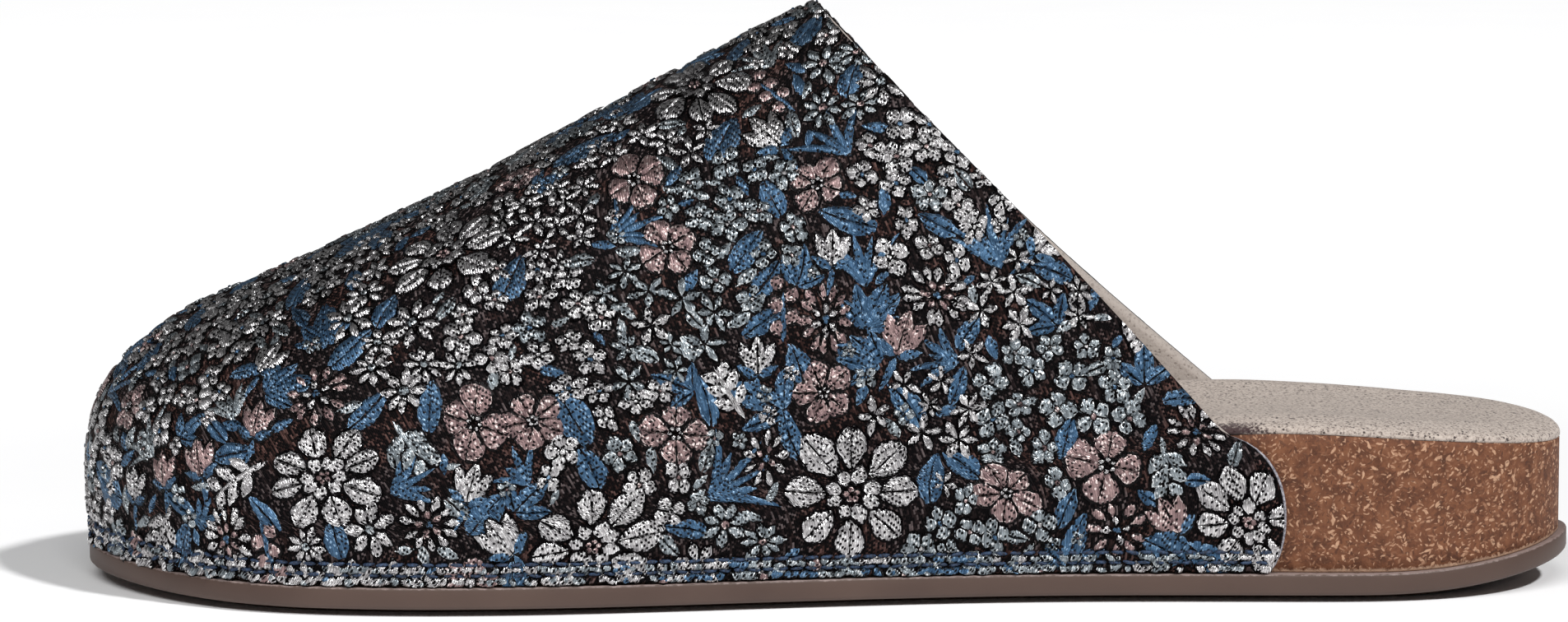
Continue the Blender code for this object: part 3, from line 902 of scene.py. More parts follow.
def bookGrid(columns, levels, reach=1.0):  # both sides, joined along the toe line and the ridge
    grids = []
    ridgeEnd = endStation(startSide("lateral"), np.array([1.0]))[0]
    for name in ("lateral", "medial"):
        side = startSide(name)
        end = endStation(side, levels)
        end[-1] = ridgeEnd
        share = np.linspace(0.0, reach, columns + 1)
        grids.append(sidePoint(side, end[None, :] * share[:, None], levels[None, :]))
    ids = np.arange(2 * grids[0][..., 0].size).reshape(2, columns + 1, len(levels))
    ids[1, 0, :] = ids[0, 0, :]
    ids[1, :, -1] = ids[0, :, -1]
    used, flat = np.unique(ids, return_inverse=True)
    points = np.concatenate([grid.reshape(-1, 3) for grid in grids])[used]
    ids = flat.reshape(ids.shape)
    faces = []
    for side in (0, 1):
        grid = ids[side]
        quads = np.stack([grid[:-1, :-1], grid[1:, :-1], grid[1:, 1:], grid[:-1, 1:]], axis=-1)
        quads = quads.reshape(-1, 4)
        faces.append(quads if side == 0 else quads[:, ::-1])
    return points, np.vstack(faces), ids


def vertexNormals(points, faces):
    a, b, c, d = (points[faces[:, i]] for i in range(4))
    face = np.cross(c - a, d - b)
    normal = np.zeros_like(points)
    for i in range(4):
        np.add.at(normal, faces[:, i], face)
    return unit(normal)


upper = {
    "columns": 230,
    "wallRows": 30,
    "domeRows": 52,
    "sink": 0.25,
    "clothThick": 0.5,
    "edgeBulge": 0.25,
    "edgeArcs": 4,
    "stitchRows": (1.9, 3.8),
    "stitchPitch": 2.5,
    "groove": {"depth": 0.40, "width": 0.5, "even": 0.8},  # along a row of stitches
    "pucker": {"pitch": 3.3, "depth": 0.26, "wobble": (1.3, 0.21)},
    "toePucker": {"pitch": 4.6, "depth": 0.6, "wobble": (1.1, 0.37), "run": (30.0, 75.0)},
    "puckerHeight": 5.0,
    "droop": {"depth": 0.6, "height": 1.5},
    # soft creases: side, start and end in x and z, depth (a ridge is negative), width
    "creases": [
        ("lateral", (-88.0, 48.0), (-70.0, 30.0), 0.45, 6.0),
        ("lateral", (-66.0, 62.0), (-52.0, 40.0), 0.35, 7.0),
        ("lateral", (18.0, 70.0), (34.0, 40.0), 0.35, 8.0),
        ("lateral", (52.0, 38.0), (60.0, 20.0), -0.30, 6.0),
        ("medial", (-84.0, 46.0), (-66.0, 30.0), 0.45, 6.0),
        ("medial", (-58.0, 62.0), (-46.0, 40.0), 0.35, 7.0),
        ("medial", (20.0, 66.0), (38.0, 38.0), 0.35, 8.0),
    ],
}


def creaseDepth(points):
    total = np.zeros(len(points))
    for side, start, end, depth, width in upper["creases"]:
        start, end = np.array(start), np.array(end)
        run = end - start
        spot = points[:, [0, 2]] - start
        share = np.clip(spot @ run / (run @ run), 0.0, 1.0)
        away = np.linalg.norm(spot - share[:, None] * run, axis=1)
        here = points[:, 1] < 0 if side == "lateral" else points[:, 1] > 0
        total -= depth * np.exp(-((away / width) ** 2) * 2.0) * here
    return total


def nearRow(height, row):  # 1 on a row of stitches, 0 away from it
    return np.exp(-(((height - row) / upper["groove"]["width"]) ** 2))


def wobbly(arc, wave):  # a wave with an uneven pitch
    size, rate = wave["wobble"]
    return np.sin(2.0 * np.pi * arc / wave["pitch"] + size * np.sin(arc * rate))


def hemPucker(arc, height, toeShare):
    groove, droop = upper["groove"], upper["droop"]
    even = groove["even"]
    dip = even + (1.0 - even) * np.cos(2.0 * np.pi * arc / upper["stitchPitch"])
    depth = np.zeros_like(arc)
    for row in upper["stitchRows"]:
        depth -= groove["depth"] * dip * nearRow(height, row)
    fade = np.exp(-height / upper["puckerHeight"])
    large = wobbly(arc, upper["toePucker"])
    depth += upper["pucker"]["depth"] * wobbly(arc, upper["pucker"]) * fade
    depth += upper["toePucker"]["depth"] * toeShare * large * fade
    sag = droop["depth"] * toeShare * np.clip(large, 0.0, 1.0) * np.exp(-height / droop["height"])
    return depth, sag


def makeUpperGrid():
    levels = clothLevels(upper["wallRows"], upper["domeRows"])
    points, faces, ids = bookGrid(upper["columns"], levels)
    normals = vertexNormals(points, faces)
    uv = np.zeros((len(points), 3))  # along the thread, across the threads, up from the hem
    hemHeight = np.zeros(len(points))
    hemDroop = np.zeros(len(points))
    for own, sign in ((ids[0], -1.0), (ids[1], 1.0)):
        run, climb = (arcLength(points[own], i) for i in (0, 1))
        uv[own, 0] = sign * (climb[:, -1:] - climb)
        uv[own, 1] = run - run[upper["columns"] // 2]
        uv[own, 2] = climb
        toe = 1.0 - smoothStep(run[:, :1], *upper["toePucker"]["run"])
        arc = np.broadcast_to(run[:, :1], climb.shape) * sign
        hemHeight[own], hemDroop[own] = hemPucker(arc, climb, np.broadcast_to(toe, climb.shape))
    push = creaseDepth(points) - upper["sink"] + hemHeight
    points = points + normals * push[:, None]
    points[:, 2] -= hemDroop
    normals = vertexNormals(points, faces)
    return {"points": points, "normals": normals, "faces": faces, "ids": ids, "uv": uv}


def boundaryLoop(ids):  # hem from the lateral back round the toe, then up and down the topline
    hem = list(ids[0, ::-1, 0]) + list(ids[1, 1:, 0])
    back = list(ids[1, -1, 1:]) + list(ids[0, -1, -2:0:-1])
    return np.array(hem + back)


def shellMesh(grid, outer, inner):  # a closed shell between two depths under the grid, with a round edge
    points, normals, faces = grid["points"], grid["normals"], grid["faces"]
    count = len(points)
    loop = boundaryLoop(grid["ids"])
    edge = points[loop]
    run = np.roll(edge, -1, axis=0) - np.roll(edge, 1, axis=0)
    outward = unit(np.cross(run, normals[loop])) * upper["edgeBulge"]
    spots = [points - normals * outer, points - normals * inner]
    rows = [loop]
    for k in range(1, upper["edgeArcs"]):
        turn = np.pi * k / upper["edgeArcs"]
        depth = outer + (inner - outer) * (1.0 - math.cos(turn)) / 2
        spots.append(edge - normals[loop] * depth + outward * math.sin(turn))
        rows.append(2 * count + (k - 1) * len(loop) + np.arange(len(loop)))
    rows.append(loop + count)
    made = faces.tolist() + (faces[:, ::-1] + count).tolist()
    for before, after in zip(rows, rows[1:]):
        made += strip(before, after)
    return np.vstack(spots), made


cloth = makeUpperGrid()


def makeCloth():
    points, faces = shellMesh(cloth, 0.0, upper["clothThick"])
    edgeUv = cloth["uv"][boundaryLoop(cloth["ids"])]
    uv = np.vstack([cloth["uv"], cloth["uv"]] + [edgeUv] * (upper["edgeArcs"] - 1))
    piece = makePiece("upper_cloth", points, faces, materials["ground"], uv=uv)
    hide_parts("upper")
    print("upper cloth made:", len(faces), "faces")


lining = {"columns": 90, "wallRows": 10, "domeRows": 26, "short": 0.9995, "gap": 0.02, "thick": 1.0}


def makeLining():
    levels = clothLevels(lining["wallRows"], lining["domeRows"])
    points, faces, ids = bookGrid(lining["columns"], levels, lining["short"])
    points = points + vertexNormals(points, faces) * creaseDepth(points)[:, None]
    grid = {"points": points, "normals": vertexNormals(points, faces), "faces": faces, "ids": ids}
    start = upper["sink"] + upper["clothThick"] + lining["gap"]
    spots, made = shellMesh(grid, start, start + lining["thick"])
    piece = makePiece("upper_lining", spots, made, materials["lining"])


makeCloth()
makeLining()
print("lining made")


# woven motifs: raised patches laid on the cloth in a seeded, packed layout

class Surface:
    def __init__(self, cloth):
        self.cloth = cloth
        self.tree = BVHTree.FromPolygons(cloth["points"].tolist(), cloth["faces"].tolist())

    def nearest(self, spots):  # place, normal and uv on the cloth
        hits = [self.tree.find_nearest(spot) for spot in spots.tolist()]
        place = np.array([hit[0] for hit in hits])
        face = self.cloth["faces"][[hit[2] for hit in hits]]
        corner = self.cloth["points"][face]
        offset = place - corner[:, 0]
        s, t = (np.clip((offset * edge).sum(1) / (edge**2).sum(1).clip(1e-9), 0.0, 1.0)[:, None]
                for edge in (corner[:, 1] - corner[:, 0], corner[:, 3] - corner[:, 0]))
        return place, unit(blend(self.cloth["normals"][face], s, t)), blend(self.cloth["uv"][face], s, t)


surface = Surface(cloth)
draw = random.Random(41)


def bladeCurve(t, length, width, belly, taper, bend):  # half the width, and the spine
    half = 0.5 * width * np.clip(np.sin(np.pi * t**belly), 0.0, 1.0) ** taper
    return half, bend * length * t * t


def blade(length, width, belly=0.7, taper=0.8, bend=0.0, steps=6):
    t = np.linspace(0.0, 1.0, steps + 1)
    half, spine = bladeCurve(t, length, width, belly, taper, bend)
    right = np.stack([spine + half, length * t], axis=1)
    left = np.stack([spine - half, length * t], axis=1)
    return np.vstack([right, left[-2:0:-1]])


def halfBlades(length, width, belly=0.7, taper=0.8, bend=0.0, steps=7, slit=0.28):
    t = np.linspace(0.04, 0.97, steps + 1)
    half, spine = bladeCurve(t, length, width, belly, taper, bend)
    inner = np.minimum(slit / 2, half * 0.4)
    made = []
    for sign in (1.0, -1.0):
        outer = np.stack([spine + sign * half, length * t], axis=1)
        near = np.stack([spine + sign * inner, length * t], axis=1)[::-1]
        ring = np.vstack([outer, near])
        made.append(ring if sign > 0 else ring[::-1])
    return made


def disc(radius, steps=8):
    turn = np.arange(steps) * 2.0 * np.pi / steps
    return radius * np.stack([np.cos(turn), np.sin(turn)], axis=1)


def turned(points, angle):
    c, s = math.cos(angle), math.sin(angle)
    return points @ np.array([[c, s], [-s, c]])


def shifted(points, x, y):
    return points + np.array([x, y])


def hemLine(side, height):
    grid = cloth["points"][cloth["ids"][side]]
    return np.vstack([onLine(row, climb, [height]) for row, climb in zip(grid, arcLength(grid, 1))])


def walk(line, step):  # points spaced evenly along a polyline, with their directions
    arc = arcLength(line)
    at = np.arange(step / 2, arc[-1] - step / 2, step)
    spots = onLine(line, arc, at)
    return spots, unit(onLine(line, arc, at + 0.2) - spots)


def ringOf(count, start, length, width, colour, spin=0.0, split=False, level="flower", **form):
    made = []
    for i in range(count):
        angle = spin + 2.0 * math.pi * i / count + draw.uniform(-0.11, 0.11)
        size = draw.uniform(0.84, 1.10)
        reach = (length * size, width * size)
        shapes = halfBlades(*reach, **form) if split else [blade(*reach, **form)]
        made += [(turned(shifted(shape, 0.0, start), angle), colour, level) for shape in shapes]
    return made


def beads(count, radius, size, colour):
    return [(shifted(disc(size, 6), *place), colour, "heart") for place in disc(radius, count)]


def seenAskew(element):  # narrows a flower along a random direction
    angle = draw.uniform(0.0, math.pi)
    narrow = draw.uniform(0.70, 1.0)

    def change(shape):
        return turned(turned(shape, -angle) * np.array([1.0, narrow]), angle)

    patches, footprint = element
    patches = [(change(shape), colour, level) for shape, colour, level in patches]
    return patches, [change(shape) for shape in footprint]


def rosette(size, colour="silver"):
    outer = ringOf(8, 0.34 * size, 0.66 * size, 0.45 * size, colour, belly=1.25, taper=0.75, split=True)
    inner = ringOf(8, 0.15 * size, 0.25 * size, 0.19 * size, colour, math.pi / 8, level="heart", belly=0.85)
    return outer + inner + beads(5, 0.075 * size, 0.04 * size, "mauve"), [disc(size, 16)]


def cosmos(size, colour="silver"):
    made = []
    for i in range(6):
        angle = i * math.pi / 3 + draw.uniform(-0.05, 0.05)
        for fan, reach in ((-0.23, 0.74), (0.0, 0.84), (0.23, 0.74)):
            lobe = blade(reach * size, 0.20 * size, belly=1.3, taper=0.85, steps=8)
            lobe = turned(turned(shifted(lobe, 0.0, 0.14 * size), fan), angle)
            made.append((lobe, colour, "flower"))
    heart = beads(7, 0.13 * size, 0.05 * size, "leafBlue") + [(disc(0.06 * size, 6), "mauve", "heart")]
    return made + heart, [disc(0.97 * size, 16)]


def broadFlower(count, size, width, belly, split, bead):
    form = {"belly": belly, "taper": 0.75, "split": split}
    petals = ringOf(count, 0.12 * size, 0.88 * size, width * size, "mauve", **form)
    return petals + beads(*bead, 0.055 * size, "silver"), [disc(0.98 * size, 12)]


def poppy(size):
    return broadFlower(4, size, 0.92, 1.35, True, (6, 0.16 * size))


def wildRose(size):
    return broadFlower(5, size, 0.74, 1.4, size > 4.6, (5, 0.12 * size))


def daisy(size, colour="silver"):
    count = draw.choice((7, 8, 9))
    width = 2.7 * size / count
    petals = ringOf(count, 0.20 * size, 0.80 * size, width, colour, belly=1.15, taper=0.85, steps=5)
    heart = [(disc(0.17 * size, 7), "mauve" if colour == "greyBlue" else "greyBlue", "heart")]
    return petals + heart, [disc(0.95 * size, 12)]


def floret(size, colour="greyBlue"):
    count = draw.choice((4, 5))
    width = 3.3 * size / count
    petals = ringOf(count, 0.08 * size, 0.92 * size, width, colour, belly=1.35, taper=0.8, steps=6)
    heart = [(disc(0.13 * size, 5), draw.choice(("silver", "mauve", "leafBlue")), "heart")]
    return petals + heart, [disc(0.95 * size, 10)]


def starlet(size, colour="silver"):
    count = draw.choice((5, 6))
    petals = ringOf(count, 0.10 * size, 0.90 * size, 0.36 * size, colour, belly=1.1, taper=0.9, steps=5)
    return petals, [disc(0.8 * size, 10)]


def seedHead(size, colour):
    count = draw.choice((9, 11, 13))
    other = "mauve" if colour == "silver" else "silver"
    form = {"taper": 0.8, "steps": 5}
    outer = ringOf(count, 0.46 * size, 0.54 * size, 0.24 * size, colour, belly=1.2, **form)
    inner = ringOf(count // 2, 0.16 * size, 0.34 * size, 0.18 * size, other, 0.3, belly=1.1, **form)
    return outer + inner + beads(3, 0.06 * size, 0.06 * size, "leafBlue"), [disc(0.97 * size, 14)]


def grassTuft(size, colour):
    cover = []
    for fan in np.linspace(-0.8, 0.8, draw.choice((4, 5, 6))):
        reach = size * draw.uniform(0.65, 1.05)
        form = (reach, draw.uniform(1.0, 1.6), 0.75, 0.6, 0.5 * fan * draw.uniform(0.4, 1.2), 8)
        cover.append(turned(blade(*form), -0.6 * fan))
    return [(shape, colour, "leaf") for shape in cover], cover


def tulip(size, colour):
    side = blade(0.92 * size, 0.34 * size, belly=0.9)
    made = [(turned(side, fan), colour, "flower") for fan in (-0.48, 0.48)]
    made += [(shape, colour, "heart") for shape in halfBlades(0.98 * size, 0.40 * size, belly=0.8)]
    made += [(turned(blade(0.55 * size, 0.24 * size), fan), "leafBlue", "flower") for fan in (-1.15, 1.15)]
    made.append((turned(blade(0.8 * size, 0.16 * size, bend=0.15), math.pi), "leafBlue", "leaf"))
    return made, [shifted(disc(0.52 * size, 10), 0.0, 0.45 * size)]


def leaf(size, slim, colour="leafBlue"):
    form = (size, slim * size, 0.85, 0.85, draw.uniform(-0.2, 0.2))
    shapes = halfBlades(*form) if slim * size > 2.2 else [blade(*form)]
    cover = [shifted(blade(*form), 0.0, -size / 2)]
    return [(shifted(shape, 0.0, -size / 2), colour, "leaf") for shape in shapes], cover


def leafSpray(size, colour="leafBlue"):
    made, cover = [], []
    for fan in np.linspace(-0.95, 0.95, draw.choice((3, 5))):
        reach = size * (1.0 - 0.32 * abs(fan)) * draw.uniform(0.9, 1.1)
        form = (reach, 0.38 * reach, 0.9, 0.85, draw.uniform(-0.2, 0.2))
        made += [(turned(shape, fan), colour, "leaf") for shape in halfBlades(*form)]
        cover.append(turned(blade(*form), fan))
    return made, cover


def fern(size, colour):
    bend = draw.uniform(-0.2, 0.2)
    made = [(blade(size, 1.0, 0.6, 0.5, bend, 8), colour, "leaf")]
    pairs = max(int(size / 2.6), 4)
    for i in range(1, pairs):
        t = i / pairs
        length = size * 0.30 * math.sin(math.pi * (0.25 + 0.7 * t)) + 1.0
        for sign in (-1.0, 1.0):
            leaflet = turned(shifted(blade(length, 2.0, 0.9, 0.7, 0.0, 4), 0.0, 0.3), -sign * 0.8)
            made.append((shifted(leaflet, bend * size * t * t, size * t), colour, "flower"))
    return made, [blade(1.1 * size, 0.55 * size, 0.75, 0.6, bend, 8)]


def berrySprig(size, colour):
    bend = draw.uniform(-0.22, 0.22)
    made = [(blade(size, 0.9, 0.6, 0.5, bend, 8), "leafBlue", "leaf")]
    count = int(size / 1.5)
    for i in range(count):
        t = 0.15 + 0.85 * i / max(count - 1, 1)
        side = 1.45 if i % 2 else -1.45
        bead = turned(blade(2.6, 2.3, 1.0, 0.55, 0.0, 5), -0.35 * side)
        made.append((shifted(bead, bend * size * t * t + 0.4 * side, size * t), colour, "flower"))
    return made, [blade(1.25 * size, 5.4, 0.8, 0.5, bend, 8)]


layout = {
    "samples": 36000,
    "margin": 0.55,
    "heroes": 12,
    "roses": 26,
    "clusters": 14,
    "daisyGroups": 12,
    "starGroups": 14,
    "seedHeads": 16,
    "tulips": 32,
    "ferns": 14,
    "sprigs": 22,
    "tufts": 34,
    "sprays": 64,
    "longLeaves": 59,
    "leaves": 110,
    "fillers": 720,
    "leafUnder": 0.45,
    "leafOverLeaf": 0.10,
}


def samplePoints(count):
    rng = np.random.default_rng(12)
    faces = cloth["faces"]
    corner = cloth["points"][faces]
    area = np.linalg.norm(np.cross(corner[:, 2] - corner[:, 0], corner[:, 3] - corner[:, 1]), axis=1)
    chosen = rng.choice(len(faces), count, p=area / area.sum())
    s, t = rng.random((2, count, 1))
    return blend(corner[chosen], s, t), unit(blend(cloth["normals"][faces[chosen]], s, t))


def insideShape(spots, shape):
    x, y = spots[:, 0][:, None], spots[:, 1][:, None]
    ax, ay = shape[:, 0], shape[:, 1]
    bx, by = np.roll(ax, -1), np.roll(ay, -1)
    crosses = (ay > y) != (by > y)
    with np.errstate(divide="ignore", invalid="ignore"):
        at = (bx - ax) * (y - ay) / (by - ay) + ax
    return (crosses & (x < at)).sum(axis=1) % 2 == 1


def outset(shape, distance):  # the outline moved out by a distance
    run = np.roll(shape, -1, axis=0) - np.roll(shape, 1, axis=0)
    out = np.stack([run[:, 1], -run[:, 0]], axis=1)
    return shape + out / np.linalg.norm(out, axis=1).clip(1e-9)[:, None] * distance


class Layout:
    def __init__(self):
        self.place, self.normal = samplePoints(layout["samples"])
        self.taken = {layer: np.zeros(len(self.place), bool) for layer in ("flower", "leaf")}
        self.tree = KDTree(len(self.place))
        for i, spot in enumerate(self.place):
            self.tree.insert(spot, i)
        self.tree.balance()
        self.placed = []

    def axes(self, index):
        return surfaceAxes(self.normal[index]), self.normal[index]

    def tryPlace(self, index, angles, element, overlap, layer="flower"):
        patches, footprint = element
        frame, normal = self.axes(index)
        origin = self.place[index]
        reach = max(np.linalg.norm(shape, axis=1).max() for shape in footprint) + 0.6
        near = np.array([hit[1] for hit in self.tree.find_range(origin, reach)])
        near = near[self.normal[near] @ normal > 0.1]
        spots = (self.place[near] - origin) @ frame.T
        best = None
        for angle in angles:
            inside = np.zeros(len(near), bool)
            for shape in footprint:
                inside |= insideShape(spots, turned(shape, angle))
            if not inside.any():
                continue
            under = self.taken["flower"][near[inside]].mean()
            beside = self.taken["leaf"][near[inside]].mean()
            fits = under <= overlap
            if layer == "leaf":
                fits = under <= layout["leafUnder"] and beside <= overlap
            if fits and (best is None or under + beside < best[0]):
                best = (under + beside, angle)
        if best is None:
            return False
        for shape in footprint:
            grown = turned(outset(shape, layout["margin"]), best[1])
            self.taken[layer][near[insideShape(spots, grown)]] = True
        c, s = math.cos(best[1]), math.sin(best[1])
        self.placed.append((origin, np.array([[c, s], [-s, c]]) @ frame, patches))
        return True

    def openIndex(self, layer):
        free = ~self.taken["flower"]
        if layer == "leaf":
            free &= ~self.taken["leaf"]
        free = np.flatnonzero(free)
        return int(free[draw.randrange(len(free))])

    def spread(self, count, make, spacing, overlap, tilt=math.pi, turns=1, tries=30, layer="flower"):
        done = np.full((count, 3), 1e6)
        found = 0
        for _ in range(count * tries):
            if found == count:
                break
            index = self.openIndex(layer)
            away = np.linalg.norm(done[:found] - self.place[index], axis=1).min(initial=1e6)
            if away < spacing:
                continue
            angles = [draw.uniform(-tilt, tilt) for _ in range(turns)]
            if self.tryPlace(index, angles, make(), overlap, layer):
                done[found] = self.place[index]
                found += 1
        return done[:found]

    def nearest(self, spot):
        return self.tree.find(spot)[1]

    def around(self, centres, make, count, radius, spacing, overlap):
        for centre in centres:
            frame, _ = self.axes(self.nearest(centre))
            colour = draw.choice(("silver", "greyBlue", "silver"))
            spots = [centre]
            for _ in range(count * 14):
                reach = radius * math.sqrt(draw.random())
                turn = draw.uniform(0.0, 2.0 * math.pi)
                spot = centre + reach * (math.cos(turn) * frame[0] + math.sin(turn) * frame[1])
                if len(spots) > count or min(np.linalg.norm(np.array(spots) - spot, axis=1)) < spacing:
                    continue
                if self.tryPlace(self.nearest(spot), [draw.uniform(-3.1, 3.1)], make(colour), overlap):
                    spots.append(spot)


def pick(*choices):
    return draw.choice(choices)


def makeLayout():
    plan = Layout()
    size = draw.uniform
    plan.spread(layout["heroes"], lambda: seenAskew(pick(rosette, cosmos)(size(9.5, 12.5))), 36.0, 0.02)
    plan.spread(layout["roses"], lambda: seenAskew(pick(poppy, wildRose)(size(4.4, 7.0))), 9.5, 0.06)
    clusters = plan.spread(layout["clusters"], lambda: floret(3.2), 25.0, 0.0)
    plan.around(clusters, lambda colour: seenAskew(floret(size(2.4, 3.6), colour)), 26, 13.0, 4.2, 0.25)
    daisies = plan.spread(layout["daisyGroups"], lambda: daisy(4.6), 20.0, 0.02)
    plan.around(daisies, lambda colour: seenAskew(daisy(size(3.4, 5.2), colour)), 12, 12.5, 5.2, 0.28)
    stars = plan.spread(layout["starGroups"], lambda: starlet(3.4), 18.0, 0.02)
    plan.around(stars, lambda colour: seenAskew(starlet(size(2.4, 3.8), colour)), 13, 11.0, 4.2, 0.25)
    plan.spread(layout["seedHeads"], lambda: seenAskew(seedHead(size(5.0, 7.5), pick("silver", "mauve"))),
                16.0, 0.05)
    plan.spread(layout["tulips"], lambda: tulip(size(5.5, 8.5), pick("silver", "silver", "mauve")),
                9.0, 0.06, 0.8)
    plan.spread(layout["ferns"], lambda: fern(size(10.0, 16.0), pick("greyBlue", "silver")),
                13.0, 0.12, turns=4)
    plan.spread(layout["sprigs"], lambda: berrySprig(size(8.0, 13.0), pick("mauve", "silver", "greyBlue")),
                10.0, 0.12, turns=4)
    under = layout["leafOverLeaf"]
    leaves = [
        (layout["tufts"], lambda: grassTuft(size(7.0, 14.0), pick("leafBlue", "leafBlue", "greyBlue")), 1.4),
        (layout["sprays"], lambda: leafSpray(size(7.0, 12.0)), 1.2),
        (layout["longLeaves"], lambda: leaf(size(11.0, 18.0), size(0.36, 0.58)), 1.4),
        (layout["leaves"], lambda: leaf(size(7.0, 11.0), size(0.36, 0.58)), 1.4),
    ]
    for number, make, tilt in leaves:
        plan.spread(number, make, 0.0, under, tilt, turns=4, tries=4, layer="leaf")
    for _ in range(layout["fillers"]):
        angles = [draw.uniform(-3.1, 3.1) for _ in range(3)]
        if draw.random() < 0.4:
            made = floret(size(1.3, 2.1), pick("silver", "silver", "greyBlue", "greyBlue"))
            plan.tryPlace(plan.openIndex("flower"), angles[:1], made, 0.05)
        else:
            made = leaf(size(3.0, 6.0), size(0.34, 0.5), pick("leafBlue", "greyBlue", "greyBlue"))
            plan.tryPlace(plan.openIndex("leaf"), angles, made, under, "leaf")
    for layer, taken in plan.taken.items():
        print("layout", layer, round(float(taken.mean()), 3))
    print("layout:", len(plan.placed), "motifs")
    return plan.placed


relief = {
    "skirt": (0.24, 0.50, 0.26),  # width of the dark outline, ground with painted shade at the patch's foot: least, most, share of the patch's width
    "levels": {"leaf": (-0.06, 0.02, 0.36), "flower": (0.10, 0.22, 0.62), "heart": (0.46, 0.54, 0.78),
               "puff": (0.22, 0.36, 0.64)},  # foot of the skirt, outline, top
    "rings": ((1.0, 0.0, 0.0), (0.80, 0.75, 1.0), (0.42, 1.0, 1.0)),  # scale, share of the height, rim
    "smallRings": ((1.0, 0.0, 0.0), (0.66, 0.9, 1.0)),
    "ragged": 0.06,
    "leastArea": 1e-5,  # a face with less than this is left out
    "sewnDown": 0.9,  # share of the height that a row of stitches takes away
    "slip": 0.4,  # a patch mostly this far past the cloth's edge is left out
}


def patchMesh(shape, origin, frame, level):
    foot, low, top = relief["levels"][level]
    rings = relief["rings"] if np.ptp(shape, axis=0).max() > 4.0 else relief["smallRings"]
    middle = shape.mean(axis=0)
    size = len(shape)
    least, most, share = relief["skirt"]
    skirt = np.clip(share * np.ptp(shape, axis=0).min(), least, most)
    flat = [outset(shape, skirt)] + [middle + (shape - middle) * scale for scale, _, _ in rings]
    flat = np.vstack(flat + [middle])
    lift = [foot] + [low + (top - low) * share for _, share, _ in rings]
    rim = [-1.0] + [rim for _, _, rim in rings]
    faces = []
    for ring in range(len(rings)):
        first = ring * size + np.arange(size)
        faces += strip(first, first + size)
    first = len(rings) * size
    faces += [[first + k, first + (k + 1) % size, first + size] for k in range(size)]
    lift, rim = (np.append(np.repeat(rows, size), end) for rows, end in ((lift, top), (rim, 1.0)))
    return origin + flat @ frame, lift, rim, faces


def surfaceAxes(normal):  # right and up in the plane of the cloth
    up = np.array([0.0, 0.0, 1.0]) if abs(normal[2]) < 0.9 else np.array([1.0, 0.0, 0.0])
    up = up - normal * (normal @ up)
    up /= np.linalg.norm(up)
    return np.stack([np.cross(up, normal), up])


puffs = {
    "rows": (0.8, 2.85),
    "pitch": 1.55,
    "colours": ("silver", "silver", "silver", "greyBlue", "greyBlue", "leafBlue"),
    "change": 0.4,  # chance of another colour
    "skip": 0.12,
    "length": (0.9, 1.6),
    "width": (0.9, 2.5),
    "turn": (-0.9, 0.9),
    "slide": (-0.5, 0.5),
    "drop": (-0.8, -0.3),
}


def hemPuffs():  # small swellings of the cloth beside the stitch rows
    made = []
    for side in (0, 1):
        for height in puffs["rows"]:
            spots, _ = walk(hemLine(side, height), puffs["pitch"])
            place, normal, _ = surface.nearest(spots)
            colour = "silver"
            for spot, out in zip(place, normal):
                if draw.random() < puffs["change"]:
                    colour = draw.choice(puffs["colours"])
                if draw.random() < puffs["skip"]:
                    continue
                length, width, turn, slide, drop = (
                    draw.uniform(*puffs[key]) for key in ("length", "width", "turn", "slide", "drop"))
                puff = shifted(turned(blade(length, width, 1.0, 0.6, 0.0, 5), turn), slide, drop)
                made.append((spot, surfaceAxes(out), [(puff, colour, "puff")]))
    return made


def openFaces(points, faces):  # leaves out the faces with next to no area
    made = []
    for size in (4, 3):
        some = np.array([face for face in faces if len(face) == size])
        area = np.linalg.norm(np.cross(points[some[:, -1]] - points[some[:, 1]],
                                       points[some[:, 2]] - points[some[:, 0]]), axis=1)
        made += some[area > relief["leastArea"]].tolist()
    return made


def makeMotifs(placed):
    rng = np.random.default_rng(5)
    groups = {}
    for origin, frame, patches in placed:
        for shape, colour, level in patches:
            ragged = shape + rng.normal(0.0, relief["ragged"], shape.shape)
            groups.setdefault(colour, []).append(patchMesh(ragged, origin, frame, level))
    for colour, patches in groups.items():
        spots, lift, rim = (np.concatenate([patch[i] for patch in patches]) for i in range(3))
        place, normal, uv = surface.nearest(spots)
        away = spots - place
        slip = np.linalg.norm(away - normal * (away * normal).sum(1)[:, None], axis=1)
        for row in upper["stitchRows"]:
            lift = lift * (1.0 - relief["sewnDown"] * nearRow(uv[:, 2], row))
        points = place + normal * lift[:, None]
        keep = np.zeros(len(points), bool)
        faces = []
        start = count = 0
        for own, _, _, ownFaces in patches:
            part = slice(start, start + len(own))
            start += len(own)
            if (slip[part] > relief["slip"]).mean() > 0.5:
                continue
            keep[part] = True
            faces += [[count + i for i in face] for face in ownFaces]
            count += len(own)
        points, uv, rim = points[keep], uv[keep], rim[keep]
        faces = openFaces(points, faces)
        piece = makePiece("woven_" + colour, points, faces, materials[colour], uv=uv, rim=rim)
        print("motifs", colour, sum(len(face) - 2 for face in faces), "triangles")


makeMotifs(makeLayout() + hemPuffs())


# hem stitches and the pale edge of the flaps

def tube(centres, sizes, across, normals, sides):  # rings round the centres, closed at both ends
    turn = 2.0 * np.pi * np.arange(sides)[:, None] / sides
    rings = [centre + size * (np.cos(turn) * right + np.sin(turn) * up)
             for centre, size, right, up in zip(centres, sizes, across, normals)]
    ids = np.arange(len(rings) * sides).reshape(-1, sides)
    faces = [ids[0].tolist(), ids[-1][::-1].tolist()]
    for before, after in zip(ids, ids[1:]):
        faces += [quad[::-1] for quad in strip(before, after)]
    return np.vstack(rings), faces


